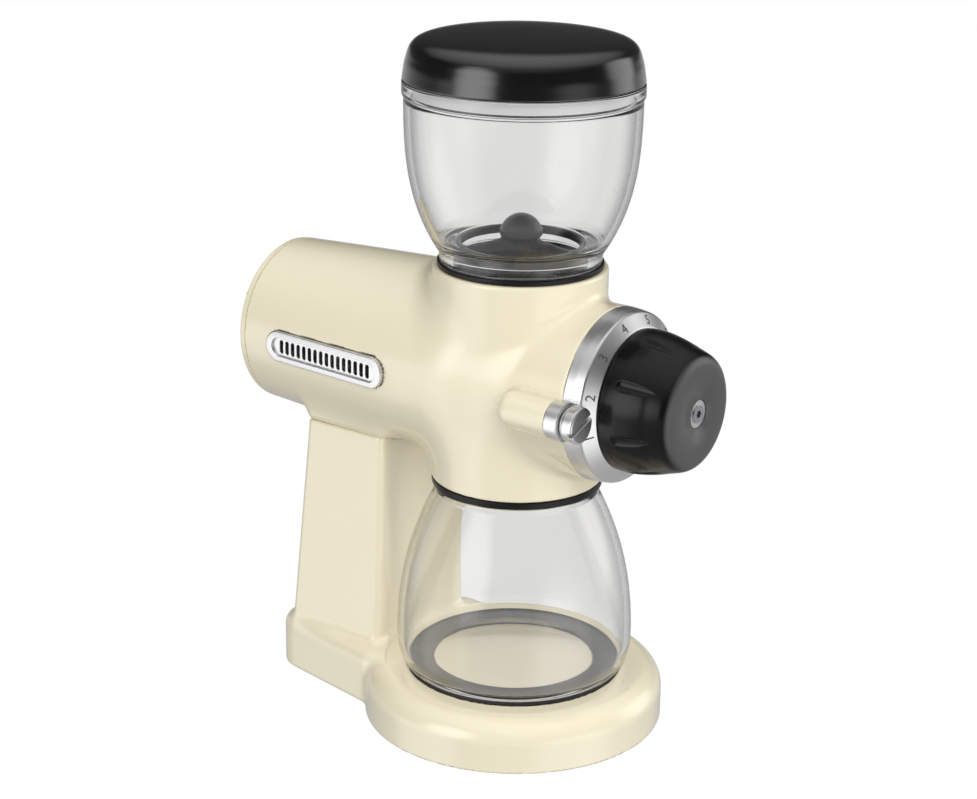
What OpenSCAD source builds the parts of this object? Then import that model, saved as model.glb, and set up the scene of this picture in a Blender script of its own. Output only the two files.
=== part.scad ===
// Electric burr coffee grinder: glass hopper above, cast body with a front grind dial,
// motor housing behind, pedestal on a round base and a glass jar under the body.
// Millimetres. Front is -Y, up is +Z, the table is z = 0.

/* [Body] */
// Radius of the upright barrel
barrel_r = 43; // [39:0.5:47]
// Wall of the upright barrel around the discharge bell
barrel_wall = 6.5; // [5:0.1:8]
// Height of the seal ring under the upright barrel
seal_h = 3.5; // [3:0.1:5]
// Depth of the barrel underside below the motor housing
low_drop = 1.4; // [1:0.1:4]
// Height of the barrel top above the motor housing
top_rise = 2.3; // [1.5:0.1:5]
// Radius of the front barrel behind the dial
front_r = 42.9; // [39:0.1:47]
// Distance from the hopper axis forward to the dial seat
front_len = 55.2; // [50:0.1:60]
// Distance of the thumb screws outside the front barrel
boss_out = 5.6; // [4:0.1:8]
// Radius of the thumb screw bosses
boss_r = 9.2; // [8:0.1:10]
// Length of the thumb screw bosses
boss_len = 26; // [20:1:30]

/* [Motor housing] */
// Radius the motor housing cone would have at the hopper axis
cone_r = 52.4; // [48:0.1:57]
// Wall of the motor housing at its rear end
rear_wall = 4.2; // [3.6:0.1:6]
// Distance from the hopper axis back to the rear face
rear_len = 146.6; // [132:0.1:160]
// Thickness of the rear cover
rear_cover_t = 3.6; // [3:0.1:5]
// Distance from the rear face to the middle of the vents
vent_back = 59.6; // [54:0.1:66]
// Length of a vent bezel
vent_len = 79; // [70:1:86]
// Height of a vent bezel
vent_h = 16; // [14:0.5:20]
// Number of slots in a vent
vent_slots = 16; // [10:1:18]
// Distance between vent slots
slot_pitch = 3.95; // [3:0.05:4]
// Width of a vent slot
slot_w = 2.3; // [1.6:0.1:2.6]

/* [Pedestal and base] */
// Radius of the round base
base_r = 76.7; // [69:0.1:84]
// Height of the top of the round base
base_top = 28.4; // [26:0.1:31]
// Height that the feet stand proud below the base
foot_h = 1.5; // [1:0.1:3]
// Radius of the bore in the cord gland
lead_r = 3.6; // [3:0.1:4.2]
// Depth of the seam between neck and pedestal below the grinding axis
seam_drop = 41; // [38:0.5:44]
// Wall of the pedestal column and the foot flange
ped_wall = 5; // [4:0.25:6]
// Half the width of the pedestal at its top
ped_top_x = 31.6; // [29:0.1:34]
// Half the width of the pedestal at its foot
ped_low_x = 36.1; // [33:0.1:39]
// Distance from the jar axis to the pedestal front face
ped_front = 61.5; // [56:0.5:67]
// Distance from the jar axis to the pedestal rear face at its top
ped_top_rear = 111; // [102:0.5:120]
// Step from the rear of the foot flange in to the foot of the column
flange_step = 10.8; // [9:0.1:13]
// Gap around the jar in the hollow of the pedestal front
nest_gap = 6.1; // [5:0.1:8]
// Half the width of the foot flange at the pedestal front
flange_x = 47.2; // [43:0.1:51]
// Half the width of the foot flange at its rear
flange_rear_x = 36; // [33:0.1:39]
// Distance from the jar axis to the rear of the foot flange
flange_rear = 132; // [120:0.5:144]
// Height of the foot flange above the round base
flange_rise = 2.6; // [2:0.1:4]

/* [Glass] */
// Wall thickness of the hopper and the jar
glass_t = 3.2; // [2.6:0.1:4]
// Height of the hopper rim above the upright barrel
hopper_h = 90.5; // [82:0.5:99]
// Outside radius of the hopper rim and the lid
hopper_r = 58; // [53:0.1:63]
// Height of the lid above the hopper rim
lid_h = 22; // [20:0.1:25]
// Height of the jar
jar_h = 96.9; // [88:0.1:106]
// Largest outside radius of the jar
jar_r = 59.9; // [56:0.1:64]
// Outside radius of the jar mat
mat_r = 56.9; // [52:0.1:60]

/* [Dial and knob] */
// Width of the dial band
dial_band = 10.1; // [9:0.1:12]
// Length of the conical number face
dial_cone = 4.7; // [4:0.1:6]
// Radius of the knob at its base
knob_r = 34.9; // [32:0.1:37]
// Length of the knob from the dial to its front face
knob_len = 34.3; // [30:0.1:38]
// Number of finger hollows around the knob
knob_hollows = 8; // [6:1:10]
// Radius of a thumb screw head
thumb_r = 8.8; // [8:0.1:10]

/* [Grinding works] */
// Outside radius of the burrs
burr_r = 28.5; // [26:0.5:31]
// Inside radius of the burrs
burr_in_r = 15; // [14:0.5:16]
// Thickness of a burr
burr_t = 5.5; // [5:0.25:6]
// Gap between the burrs at the setting shown
burr_gap = 1.05; // [1:0.05:1.2]
// Number of teeth on a burr
burr_teeth = 24; // [16:2:30]
// Outside radius of the auger flight
auger_r = 19.4; // [17:0.1:21]
// Pitch of the auger flight
auger_pitch = 24; // [20:1:30]
// Radius of the drive shaft
shaft_r = 6; // [5:0.1:7]

/* [Drive train] */
// Gear module
gear_m = 0.75; // [0.74:0.01:0.76]
// Teeth of the motor pinion
pinion_teeth = 12; // [12:1:12]
// Teeth of the large layshaft gear
wheel_teeth = 44; // [44:1:44]
// Teeth of the small layshaft gear
lay_teeth = 14; // [14:1:14]
// Teeth of the output gear
output_teeth = 42; // [42:1:42]
// Radius of the motor can
motor_r = 30; // [27:0.5:32]

/* [Switch] */
// Height of the middle of the switch above the base top
switch_rise = 59.6; // [50:0.1:70]
// Distance from the pedestal front face to the middle of the switch
switch_in = 26.5; // [22:0.5:31]

/* [Hidden] */
$fn = 96;
eps = 0.01;
fit = 0.08;
gap = 0.3;
// Heights, stacked from the table up
flange_top = base_top + flange_rise;
mat_low = base_top - 1.2;
mat_high = base_top + 0.8;
jar_low = mat_high + 0.1;
jar_high = jar_low + jar_h;
barrel_low = jar_high + 0.5 + seal_h;
axis_h = barrel_low + low_drop + cone_r;
barrel_high = axis_h + cone_r + top_rise;
seam_z = axis_h - seam_drop;
ped_roof = seam_z - 13;
seat_z = barrel_high - 12.7;
foot_z = barrel_high + 3;
ledge_h = 9.3;
hopper_high = barrel_high + hopper_h;
lid_low = hopper_high + 0.2;
lid_high = lid_low + lid_h;
gland_z = foot_h + 13.5;
gland_r = lead_r + 2.4;
// Radii around the upright axis
bell_r = barrel_r - barrel_wall;
bell_top = barrel_low + 13;
throat_r = barrel_r - 19;
seat_r = barrel_r - 4;
neck_r = seat_r - 3;
collar_r = barrel_r - 3.1;
jar_neck_r = barrel_r - 2;
nest_r = jar_r + nest_gap;
plug_r = hopper_r - glass_t - 1.6;
mat_in = mat_r - 15.9;
ped_low_rear = flange_rear - flange_step;
// Gear train, and the bore that it needs
lay_z = gear_m * (pinion_teeth + wheel_teeth) / 2;
motor_bore_r = lay_z + gear_m * (wheel_teeth / 2 + 0.8) + 0.5;
rear_r = motor_bore_r + rear_wall;
pressure = 25;
post_at = [90, 195, 345];
post_r = motor_bore_r - 4.6;
// Distances in front of the hopper axis, from the dial seat in to the burrs
dial_face = front_len + dial_band + dial_cone;
knob_base = dial_face + gap;
knob_front = dial_face + knob_len;
knob_h = knob_front - knob_base;
hub_back = front_len - 5.2;
carrier_front = hub_back - 1.95;
carrier_back = carrier_front - 5;
burr_face = carrier_back - burr_t - burr_gap;
plate_front = burr_face - burr_t;
plate_back = plate_front - 2.95;
chamber_back = plate_back - 1.05;
chamber_r = front_r - 6.9;
bolt_r = (burr_r + burr_in_r) / 2 + 0.25;
boss_x = front_r + boss_out;
lug_top = front_len + 7.75;
// Distances behind the hopper axis, from the feed screw back to the motor
feed_r = auger_r + 0.8;
feed_back = 30;
bulkhead = feed_back + 15;
seal_at = feed_back + 3.4;
plate_at = bulkhead + 26;
can_front = plate_at + 4.2;
cast_rear = rear_len - rear_cover_t;
can_rear = cast_rear - 15;
cap_rear = can_rear + 4;
fan_at = cap_rear + 2;
vent_y = rear_len - vent_back;
axis_y = (knob_front - rear_len) / 2;
nose_r = shaft_r - 2;
pinion_r = gear_m * (pinion_teeth / 2 + 0.8);
// Switch on the sloping side of the column
switch_z = base_top + switch_rise;
switch_y = ped_front + switch_in;
switch_tilt = atan((ped_low_x - ped_top_x) / (seam_z - flange_top));
switch_x = ped_low_x - (switch_z - flange_top) * tan(switch_tilt);
cream = [0.92, 0.88, 0.76];
black = [0.06, 0.06, 0.06];
silver = [0.75, 0.75, 0.76];
steel = [0.6, 0.61, 0.63];
clear = [0.8, 0.9, 0.92, 0.4];

// Points on an arc in the plane
function arc(c, r, a0, a1, n) =
    [for (i = [0:n]) c + r * [cos(a0 + (a1 - a0) * i / n), sin(a0 + (a1 - a0) * i / n)]];

// Outside radius of the motor housing cone at a distance behind the hopper axis
function cone_at(y) = cone_r + (rear_r - cone_r) * y / rear_len;

// Outside radius of the whole horizontal housing, front barrel easing into the cone
function shell_at(y) =
    y <= -12 ? front_r
    : y >= 16 ? cone_at(y)
    : front_r + (cone_at(16) - front_r) * (1 - cos(180 * (y + 12) / 28)) / 2;

// Outline of the horizontal housing, grown by g, from the rear to the front
function shell_pts(g, y0, y1) =
    concat(
        [for (y = [y1, 16]) if (y <= y1) [shell_at(y) + g, -y]],
        [for (i = [7:-1:1]) [shell_at(-12 + 28 * i / 8) + g, 12 - 28 * i / 8]],
        [for (y = [-12, y0]) [shell_at(y) + g, -y]]);

// Outline of the foot flange, drawn in by g
function flange_pts(g) = let (c = 12 - g) concat(
    [[flange_x - g, ped_front]],
    arc([flange_rear_x - 12, flange_rear - 12], c, 10, 90, 6),
    arc([-flange_rear_x + 12, flange_rear - 12], c, 90, 170, 6),
    [[-flange_x + g, ped_front], [-flange_x + g, ped_front - 16], [flange_x - g, ped_front - 16]]);

// Outline of the pedestal column: half width, front, rear and corner radius
function column_pts(x, y0, y1, r) = concat(
    arc([x - r, y0 + r], r, -90, 0, 6),
    arc([x - r, y1 - r], r, 0, 90, 6),
    arc([-x + r, y1 - r], r, 90, 180, 6),
    arc([-x + r, y0 + r], r, 180, 270, 6));

// Points of an outline moved in by t, square to the line between their neighbours
function inset(pts, t) = [for (i = [0:len(pts) - 1])
    let (a = pts[max(i - 1, 0)], b = pts[min(i + 1, len(pts) - 1)], d = (b - a) / norm(b - a))
    pts[i] + t * [-d[1], d[0]]];

// Outer wall of the hopper bowl, from its collar up to the rim
function bowl_pts() = let (bowl_r = hopper_r - 0.7) [for (i = [0:12]) let (v = i / 14)
    [collar_r + (bowl_r - collar_r) * (1 - pow(1 - v, 3.2)),
        foot_z + 4 + (hopper_high - 1 - foot_z - 4) * v]];

// Outer wall of the jar, from its foot over the belly to the neck
function jar_pts() = let (belly = jar_low + 14.7, neck = jar_high - 3.6) concat(
    [for (a = [-90:15:-15]) [jar_r - 6.5 + 6.5 * cos(a), belly + 14.7 * sin(a)]],
    [for (i = [0:12]) let (w = i / 12)
        [jar_r - (jar_r - jar_neck_r) * pow(w, 2.2), belly + (neck - belly) * w]]);

// Involute function in radians
function inv(a) = tan(a) - a * PI / 180;

// Half the angle of a gear tooth at a radius
function tooth_half(z, r) =
    let (p = gear_m * z / 2, rb = p * cos(pressure))
    90 / z - 0.05 / p * 180 / PI + (inv(pressure) - inv(acos(min(1, rb / r)))) * 180 / PI;

// Outline of a spur gear with one tooth centred at the given angle
function gear_pts(z, phase) =
    let (p = gear_m * z / 2, rb = p * cos(pressure), ra = p + 0.8 * gear_m, rf = p - gear_m,
        lo = max(rb, rf) + 0.001, steps = 4)
    [for (t = [0:z - 1]) let (a = phase + 360 * t / z) each concat(
        [rf * [cos(a - tooth_half(z, lo)), sin(a - tooth_half(z, lo))]],
        [for (i = [0:steps]) let (r = lo + (ra - lo) * i / steps, h = tooth_half(z, r))
            r * [cos(a - h), sin(a - h)]],
        [for (i = [steps:-1:0]) let (r = lo + (ra - lo) * i / steps, h = tooth_half(z, r))
            r * [cos(a + h), sin(a + h)]],
        [rf * [cos(a + tooth_half(z, lo)), sin(a + tooth_half(z, lo))]])];

// Moves a piece from the hopper axis to the part frame
module place() {
    translate([0, axis_y, 0]) children();
}

// Turns the local z axis to point forward along the grinding axis
module grind() {
    place() translate([0, 0, axis_h]) rotate([90, 0, 0]) children();
}

// Cylinder on the grinding axis between two distances in front of the hopper axis
module disc(r, d0, d1) {
    translate([0, 0, d0]) cylinder(r = r, h = d1 - d0);
}

// Ring on the grinding axis
module ring(r1, r0, d0, d1) {
    difference() {
        disc(r1, d0, d1);
        disc(r0, d0 - 1, d1 + 1);
    }
}

// Solid skinned over a stack of outlines with equal point counts
module loft(outlines, heights) {
    n = len(outlines[0]);
    m = len(outlines);
    pts = [for (k = [0:m - 1]) each [for (p = outlines[k]) [p[0], p[1], heights[k]]]];
    faces = concat(
        [[for (i = [0:n - 1]) i]],
        [for (k = [0:m - 2]) each [for (i = [0:n - 1]) each [
            [k * n + i, (k + 1) * n + i, k * n + (i + 1) % n],
            [k * n + (i + 1) % n, (k + 1) * n + i, (k + 1) * n + (i + 1) % n]]]],
        [[for (i = [n - 1:-1:0]) (m - 1) * n + i]]);
    polyhedron(pts, faces, convexity = 6);
}

// Block with rounded upright edges
module block(x, y0, y1, z0, z1, r) {
    translate([-x, y0 + r, z0]) cube([2 * x, y1 - y0 - 2 * r, z1 - z0]);
    translate([-x + r, y0, z0]) cube([2 * x - 2 * r, y1 - y0, z1 - z0]);
    for (sx = [-1, 1], y = [y0 + r, y1 - r])
        translate([sx * (x - r), y, z0]) cylinder(r = r, h = z1 - z0, $fn = 48);
}

// Round ended bar right through the housing at the vents
module pill(len, h) {
    reach = cone_r + 8;
    translate([-reach, vent_y, axis_h]) rotate([0, 90, 0]) linear_extrude(2 * reach) {
        square([h, len - h], center = true);
        for (s = [-1, 1]) translate([0, s * (len - h) / 2]) circle(d = h, $fn = 48);
    }
}

// Horizontal housing grown by g between two distances behind the hopper axis
module shell(g, y0, y1) {
    translate([0, 0, axis_h]) rotate([90, 0, 0]) rotate_extrude()
        polygon(concat([[0, -y1]], shell_pts(g, y0, y1), [[0, -y0]]));
}

// Cast body: upright barrel, front barrel, motor housing, bosses and neck
module body_casting() color(cream) place() difference() {
    union() {
        rotate_extrude() polygon(concat(
            [[0, barrel_low], [barrel_r, barrel_low]],
            arc([barrel_r - 2, barrel_high - 2], 2, 0, 90, 4),
            [[0, barrel_high]]));
        shell(0, -front_len, cast_rear);
        block(ped_top_x, ped_front, ped_top_rear, seam_z, axis_h - 20, 3.5);
        for (sx = [-1, 1]) translate([sx * boss_x, -front_len, axis_h]) {
            rotate([-90, 0, 0]) cylinder(r = boss_r, h = boss_len - 4, $fn = 48);
            translate([0, boss_len - 4, 0]) sphere(r = boss_r, $fn = 48);
        }
    }
    translate([0, 0, axis_h]) rotate([90, 0, 0]) {
        disc(motor_bore_r, -cast_rear - 1, -bulkhead);
        disc(shaft_r + 3 + fit, -bulkhead - 1, -seal_at);
        disc(shaft_r + 4 + fit, -seal_at - 0.1, -feed_back + 1);
        disc(feed_r, -feed_back, chamber_back + 1);
        disc(chamber_r, chamber_back, front_len + 1);
        translate([0, -lay_z, -bulkhead - 1]) cylinder(r = 5 + fit, h = 7.6, $fn = 48);
        for (a = post_at) rotate(a) translate([post_r, 0, -bulkhead - 1])
            cylinder(r = 1.5 + fit, h = 9, $fn = 32);
        at_cover_screws() translate([0, 0, -cast_rear - 1]) cylinder(r = 1.1, h = 9, $fn = 32);
    }
    translate([0, 0, axis_h]) cylinder(r = throat_r, h = seat_z - axis_h);
    translate([0, 0, seat_z - 4.5]) cylinder(r1 = throat_r, r2 = seat_r - 7, h = 4.5 + eps);
    translate([0, 0, seat_z]) cylinder(r = seat_r, h = 20);
    translate([0, 0, barrel_low - 1]) cylinder(r = bell_r, h = bell_top - barrel_low + 1);
    translate([-14, -chamber_back - 11.5, bell_top - 3]) cube([28, 10, axis_h - bell_top - chamber_r + 10]);
    for (sx = [-1, 1]) translate([sx * boss_x, -front_len - 1, axis_h]) rotate([-90, 0, 0])
        cylinder(r = 3 + fit, h = 17, $fn = 48);
    at_neck_screws() translate([0, 0, ped_roof]) cylinder(r = 2 + fit, h = 20, $fn = 32);
    at_wire_hole() translate([0, 0, ped_roof]) cylinder(r = 6, h = 20, $fn = 48);
    pill(vent_len + gap, vent_h + gap);
}

// Rear cover closing the motor bore
module rear_cover() color(cream) grind() difference() {
    union() {
        rotate_extrude() polygon(concat(
            [[0, -rear_len], [rear_r - 1.2, -rear_len]],
            arc([rear_r - 1.2, -rear_len + 1.2], 1.2, -90, 0, 4),
            [[shell_at(cast_rear), -cast_rear], [0, -cast_rear]]));
        ring(motor_bore_r - 0.1, motor_bore_r - 3.6, -cast_rear - eps, -cast_rear + 3);
    }
    at_cover_screws() translate([0, 0, -rear_len - 1]) {
        cylinder(r = 1.1, h = 9, $fn = 32);
        cylinder(r = 1.8, h = 2.6, $fn = 32);
    }
}

// Screws of the rear cover
module rear_cover_screws() color(steel) grind() at_cover_screws() translate([0, 0, -rear_len]) {
    translate([0, 0, 0.1]) cylinder(r = 1.7, h = 1.45, $fn = 32);
    translate([0, 0, 1]) cylinder(r = 1, h = rear_cover_t + 3.9, $fn = 32);
}

// Places of the rear cover screws, in the middle of the rear wall
module at_cover_screws() {
    for (a = [30, 150, 270]) rotate(a) translate([rear_r - rear_wall / 2, 0, 0]) children();
}

// Outer form of the foot flange
module flange(g, z1) {
    loft([flange_pts(g), flange_pts(g), flange_pts(g + 1), flange_pts(g + 3.4), flange_pts(g + 6.5)],
        [foot_h, z1 - 9, z1 - 5, z1 - 1.8, z1]);
}

// Outline that the base plate fills
module underside(g, h) {
    cylinder(r = base_r - 6 - g, h = h);
    linear_extrude(h) polygon(flange_pts(ped_wall + g));
}

// Places of the screws between the neck and the pedestal
module at_neck_screws() {
    for (sx = [-1, 1], y = [ped_front + 15, ped_top_rear - 10]) translate([sx * 20, y, 0]) children();
}

// Places of the base plate screws
module at_base_screws() {
    for (sx = [-1, 1]) {
        translate([sx * (base_r - 21.7), -30, 0]) children();
        translate([sx * (flange_rear_x - 6), flange_rear - 26, 0]) children();
    }
}

// Place of the hole for the motor wires between the pedestal and the neck
module at_wire_hole() {
    translate([0, (ped_front + ped_top_rear) / 2, 0]) children();
}

// Switch place: local z points out of the pedestal side
module at_switch() {
    place() translate([switch_x, switch_y, switch_z]) rotate([0, 90 - switch_tilt, 0]) children();
}

// Cast pedestal with the round base and the foot flange
module pedestal() {
    color(cream) difference() {
        place() {
            difference() {
                union() {
                    rotate_extrude() polygon(concat(
                        [[0, foot_h], [base_r - 0.8, foot_h], [base_r, foot_h + 1], [base_r, base_top - 20.4]],
                        arc([base_r - 14, base_top - 12.4], 12.9, 0, 90, 10),
                        [[base_r - 16, base_top], [0, base_top]]));
                    flange(0, flange_top);
                    loft([column_pts(ped_low_x, ped_front, ped_low_rear, 3.5),
                        column_pts(ped_top_x, ped_front, ped_top_rear, 3.5)], [flange_top - 11, seam_z]);
                }
                translate([0, 0, base_top]) cylinder(r = nest_r, h = seam_z - base_top - 1);
                translate([0, 0, mat_low]) cylinder(r = mat_r + 0.2, h = 10);
                translate([0, 0, foot_h - 1]) underside(0, 3.7);
                translate([0, 0, foot_h]) cylinder(r = base_r - 6, h = mat_low - foot_h - 4.5);
                flange(ped_wall, flange_top - 4);
                loft([column_pts(ped_low_x - ped_wall, ped_front + 10, ped_low_rear - ped_wall, 3),
                    column_pts(ped_top_x - ped_wall, ped_front + 10, ped_top_rear - ped_wall, 3)],
                    [foot_h + 13.5, ped_roof]);
                shell(0.1, -20, flange_rear);
                translate([0, flange_rear - 8, gland_z]) rotate([-90, 0, 0])
                    cylinder(r = gland_r + fit, h = 20, $fn = 48);
                at_neck_screws() translate([0, 0, ped_roof - 1]) cylinder(r = 2 + fit, h = 15, $fn = 32);
                at_wire_hole() translate([0, 0, ped_roof - 1]) cylinder(r = 6, h = 15, $fn = 48);
            }
            translate([0, 0, mat_low - 0.5]) cylinder(r = mat_in - 0.2, h = base_top - mat_low + 0.5);
            at_base_screws() difference() {
                translate([0, 0, foot_h + 2.7]) cylinder(r = 4.5, h = mat_low - foot_h - 6, $fn = 32);
                cylinder(r = 1.5 + fit, h = foot_h + 14.5, $fn = 32);
            }
        }
        at_switch() translate([-13.2, -9.2, -10]) cube([26.4, 18.4, 20]);
    }
}

// Screws that hold the body neck on the pedestal
module neck_screws() color(steel) place() at_neck_screws() {
    translate([0, 0, ped_roof - 2.5]) cylinder(r = 3.6, h = 2.5, $fn = 32);
    translate([0, 0, ped_roof - 0.1]) cylinder(r = 2, h = 19.6, $fn = 32);
}

// Front edge of the rectifier board
function board_y() = ped_front + 7.5;

// Plate that closes the underside of the base
module base_plate() color(black) place() difference() {
    union() {
        translate([0, 0, foot_h]) underside(0.2, 2.5);
        for (sx = [-1, 1], y = [5, 29]) translate([sx * 14, board_y() + y, foot_h])
            cylinder(r = 3, h = 8.5, $fn = 32);
    }
    at_base_screws() translate([0, 0, foot_h - 1]) {
        cylinder(r = 1.5 + fit, h = 9, $fn = 32);
        cylinder(r = 3.1, h = 2.2, $fn = 32);
    }
    at_feet() translate([0, 0, foot_h - 1]) cylinder(r = 3 + fit, h = 9, $fn = 32);
}

// Screws of the base plate
module base_screws() color(steel) place() at_base_screws() {
    translate([0, 0, foot_h + 0.1]) cylinder(r = 3, h = 1.1, $fn = 32);
    translate([0, 0, foot_h + 1]) cylinder(r = 1.5, h = 11, $fn = 32);
}

// Places of the feet
module at_feet() {
    for (sx = [-1, 1], a = [-45, 18]) rotate(90 - 90 * sx + sx * a)
        translate([base_r - 14, 0, 0]) children();
    translate([0, flange_rear - 14, 0]) children();
}

// Rubber feet pushed into the base plate
module rubber_feet() color(black) place() at_feet() rotate_extrude()
    polygon([[0, 0], [7.4, 0], [8, 0.6], [8, foot_h], [3, foot_h], [3, foot_h + 2.5],
        [3.8, foot_h + 2.6], [2.4, foot_h + 5], [0, foot_h + 5]]);

// Rubber ring that the jar stands on
module jar_mat() color(black) place() rotate_extrude()
    polygon([[mat_in, mat_low], [mat_r, mat_low], [mat_r, mat_high - 0.5], [mat_r - 0.5, mat_high],
        [mat_in + 0.5, mat_high], [mat_in, mat_high - 0.5]]);

// Black ring under the body that meets the jar rim
module discharge_seal() color(black) place() translate([0, 0, barrel_low - seal_h]) rotate_extrude()
    polygon([[bell_r + 0.1, 0], [barrel_r - 0.8, 0], [barrel_r - 0.2, 0.6],
        [barrel_r - 0.2, seal_h], [bell_r + 0.1, seal_h]]);

// Black seat ring for the hopper neck
module hopper_gasket() color(black) place() rotate_extrude()
    polygon([[neck_r + 0.5, seat_z], [seat_r - 0.1, seat_z], [seat_r - 0.1, barrel_high],
        [collar_r + 0.9, barrel_high], [collar_r + 0.9, foot_z - 0.6], [collar_r + 0.4, foot_z - 0.2],
        [neck_r + 0.5, foot_z - 0.2]]);

// Slotted vent plate that follows the housing
module vent(sx) color(silver) place() intersection() {
    difference() {
        intersection() {
            pill(vent_len, vent_h);
            shell(0.9, -20, cast_rear);
        }
        shell(-3, -20, cast_rear);
        difference() {
            pill(vent_len - 8, vent_h - 6);
            shell(-0.4, -20, cast_rear);
        }
        for (i = [0:vent_slots - 1])
            translate([-cone_r - 8, vent_y + (i - (vent_slots - 1) / 2) * slot_pitch - slot_w / 2,
                axis_h - vent_h * 0.22])
                cube([2 * cone_r + 16, slot_w, vent_h * 0.44]);
    }
    translate([sx > 0 ? 0 : -cone_r - 10, vent_y - vent_len, axis_h - vent_h])
        cube([cone_r + 10, 2 * vent_len, 2 * vent_h]);
}

module vent_left() vent(-1);

module vent_right() vent(1);

// Gear plate with three posts that stand on the bulkhead
module gear_plate() color(steel) grind() difference() {
    union() {
        disc(motor_bore_r - 0.2, -plate_at - 4, -plate_at);
        for (a = post_at) rotate(a) translate([post_r, 0, -plate_at - eps])
            cylinder(r = 4, h = plate_at - bulkhead + eps, $fn = 32);
    }
    for (a = post_at) rotate(a) translate([post_r, 0, -plate_at - 9])
        cylinder(r = 1.5 + fit, h = 50, $fn = 32);
    disc(pinion_r + 1.4, -plate_at - 5, -plate_at + 1);
    translate([0, -lay_z, -plate_at - 5]) cylinder(r = 5 + fit, h = 6, $fn = 48);
    for (sx = [-1, 1]) translate([sx * 13, 0, -plate_at - 5]) cylinder(r = 1.5 + fit, h = 6, $fn = 32);
}

// Screws through the gear plate posts
module gear_plate_screws() color(steel) grind() for (a = post_at) rotate(a) translate([post_r, 0, 0]) {
    translate([0, 0, -plate_at - 6.2]) cylinder(r = 2.8, h = 2.2, $fn = 32);
    translate([0, 0, -plate_at - 4.1]) cylinder(r = 1.5, h = plate_at - bulkhead + 11, $fn = 32);
}

// Drawn can of the motor
module motor_can() color(steel) grind() difference() {
    disc(motor_r, -can_rear, -can_front);
    disc(motor_r - 2.2, -can_rear - 1, -can_front - 2.8);
    disc(5 + fit, -can_front - 10, -can_front + 5);
    for (sx = [-1, 1]) translate([sx * 13, 0, -can_front - 4]) cylinder(r = 1.5 + fit, h = 5, $fn = 32);
}

// Two curved magnets inside the can
module field_magnets() color([0.2, 0.2, 0.22]) grind() for (a = [0, 180]) intersection() {
    ring(motor_r - 2.25, motor_r - 6.4, -can_rear + 6, -can_front - 8.8);
    rotate(a) translate([0, 8 - motor_r, -can_rear]) cube([motor_r, 2 * motor_r - 16, can_rear - can_front]);
}

// End cap of the motor
module motor_end_cap() color(black) grind() {
    difference() {
        disc(motor_r, -cap_rear, -can_rear);
        disc(5 + fit, -cap_rear - 8, -can_rear + 8);
    }
    ring(motor_r - 2.3, motor_r - 5, -can_rear - eps, -can_rear + 3);
}

// Carbon brushes in their holders
module brush_holders() color([0.55, 0.42, 0.2]) grind() for (sy = [0, 180]) rotate(sy)
    translate([-3.2, 8.3, -can_rear]) cube([6.4, 13, 8]);

// Screws that hold the motor on the gear plate
module motor_screws() color(steel) grind() for (sx = [-1, 1]) translate([sx * 13, 0, -plate_at]) {
    cylinder(r = 2.8, h = 2, $fn = 32);
    translate([0, 0, -6.8]) cylinder(r = 1.5, h = 7, $fn = 32);
}

// Bronze bush of the drive shaft
module auger_bush() color([0.7, 0.5, 0.25]) grind()
    ring(shaft_r + 3, shaft_r + fit, -bulkhead, -seal_at - 0.1);

// Felt seal in front of the bush
module auger_seal() color([0.3, 0.3, 0.3]) grind() ring(shaft_r + 4, shaft_r + fit, -seal_at, -feed_back);

// Two bushes of the layshaft
module layshaft_bushes() color([0.7, 0.5, 0.25]) grind() translate([0, -lay_z, 0]) {
    ring(5, 3 + fit, -bulkhead, -bulkhead + 6.5);
    ring(5, 3 + fit, -plate_at - 4, -plate_at);
}

// Two bushes of the motor shaft
module motor_bushes() color([0.7, 0.5, 0.25]) grind() {
    ring(5, 2.5 + fit, -can_front - 4.8, -can_front);
    ring(5, 2.5 + fit, -cap_rear, -cap_rear + 4.5);
}

// Frame and box of the rocker switch
module switch_bezel() color(black) at_switch() difference() {
    union() {
        translate([-15, -11, 0.05]) cube([30, 22, 1.8]);
        translate([-13, -9, -18]) cube([26, 18, 18.1]);
    }
    translate([-11.2, -6.8, -14]) cube([22.4, 13.6, 20]);
}

// Rocker of the switch, tipped to its off side
module switch_rocker() color([0.1, 0.1, 0.1]) at_switch() translate([0, 6.3, -3]) rotate([90, 8, 0])
    linear_extrude(12.6) polygon(concat([[-9.4, 6.3], [-9.4, -1]], arc([0, 0], 6, 200, 340, 10),
        [[9.4, -1], [9.4, 6.3], [0, 4.6]]));

// Gland where a mains lead enters the rear of the foot
module cord_gland() color(black) place() translate([0, flange_rear, gland_z]) rotate([-90, 0, 0]) difference() {
    union() {
        translate([0, 0, -9]) cylinder(r = gland_r, h = 9.1, $fn = 48);
        translate([0, 0, 0.05]) cylinder(r1 = gland_r + 3, r2 = gland_r + 2, h = 3.2, $fn = 48);
        translate([0, 0, 3.2]) cylinder(r1 = gland_r + 0.4, r2 = gland_r - 0.6, h = 7, $fn = 48);
    }
    translate([0, 0, -10]) cylinder(r = lead_r + 1, h = 11, $fn = 48);
    translate([0, 0, -10]) cylinder(r = lead_r, h = 22, $fn = 48);
}

// Rectifier board on the base plate posts
module control_board() color([0.1, 0.35, 0.2]) place() translate([0, board_y(), foot_h + 8.5]) {
    translate([-19, 0, 0]) cube([38, 34, 1.6]);
    translate([-16, 11, 1.5]) cube([12, 14, 7]);
    translate([6, 17, 1.5]) cylinder(r = 5, h = 9, $fn = 32);
}

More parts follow.
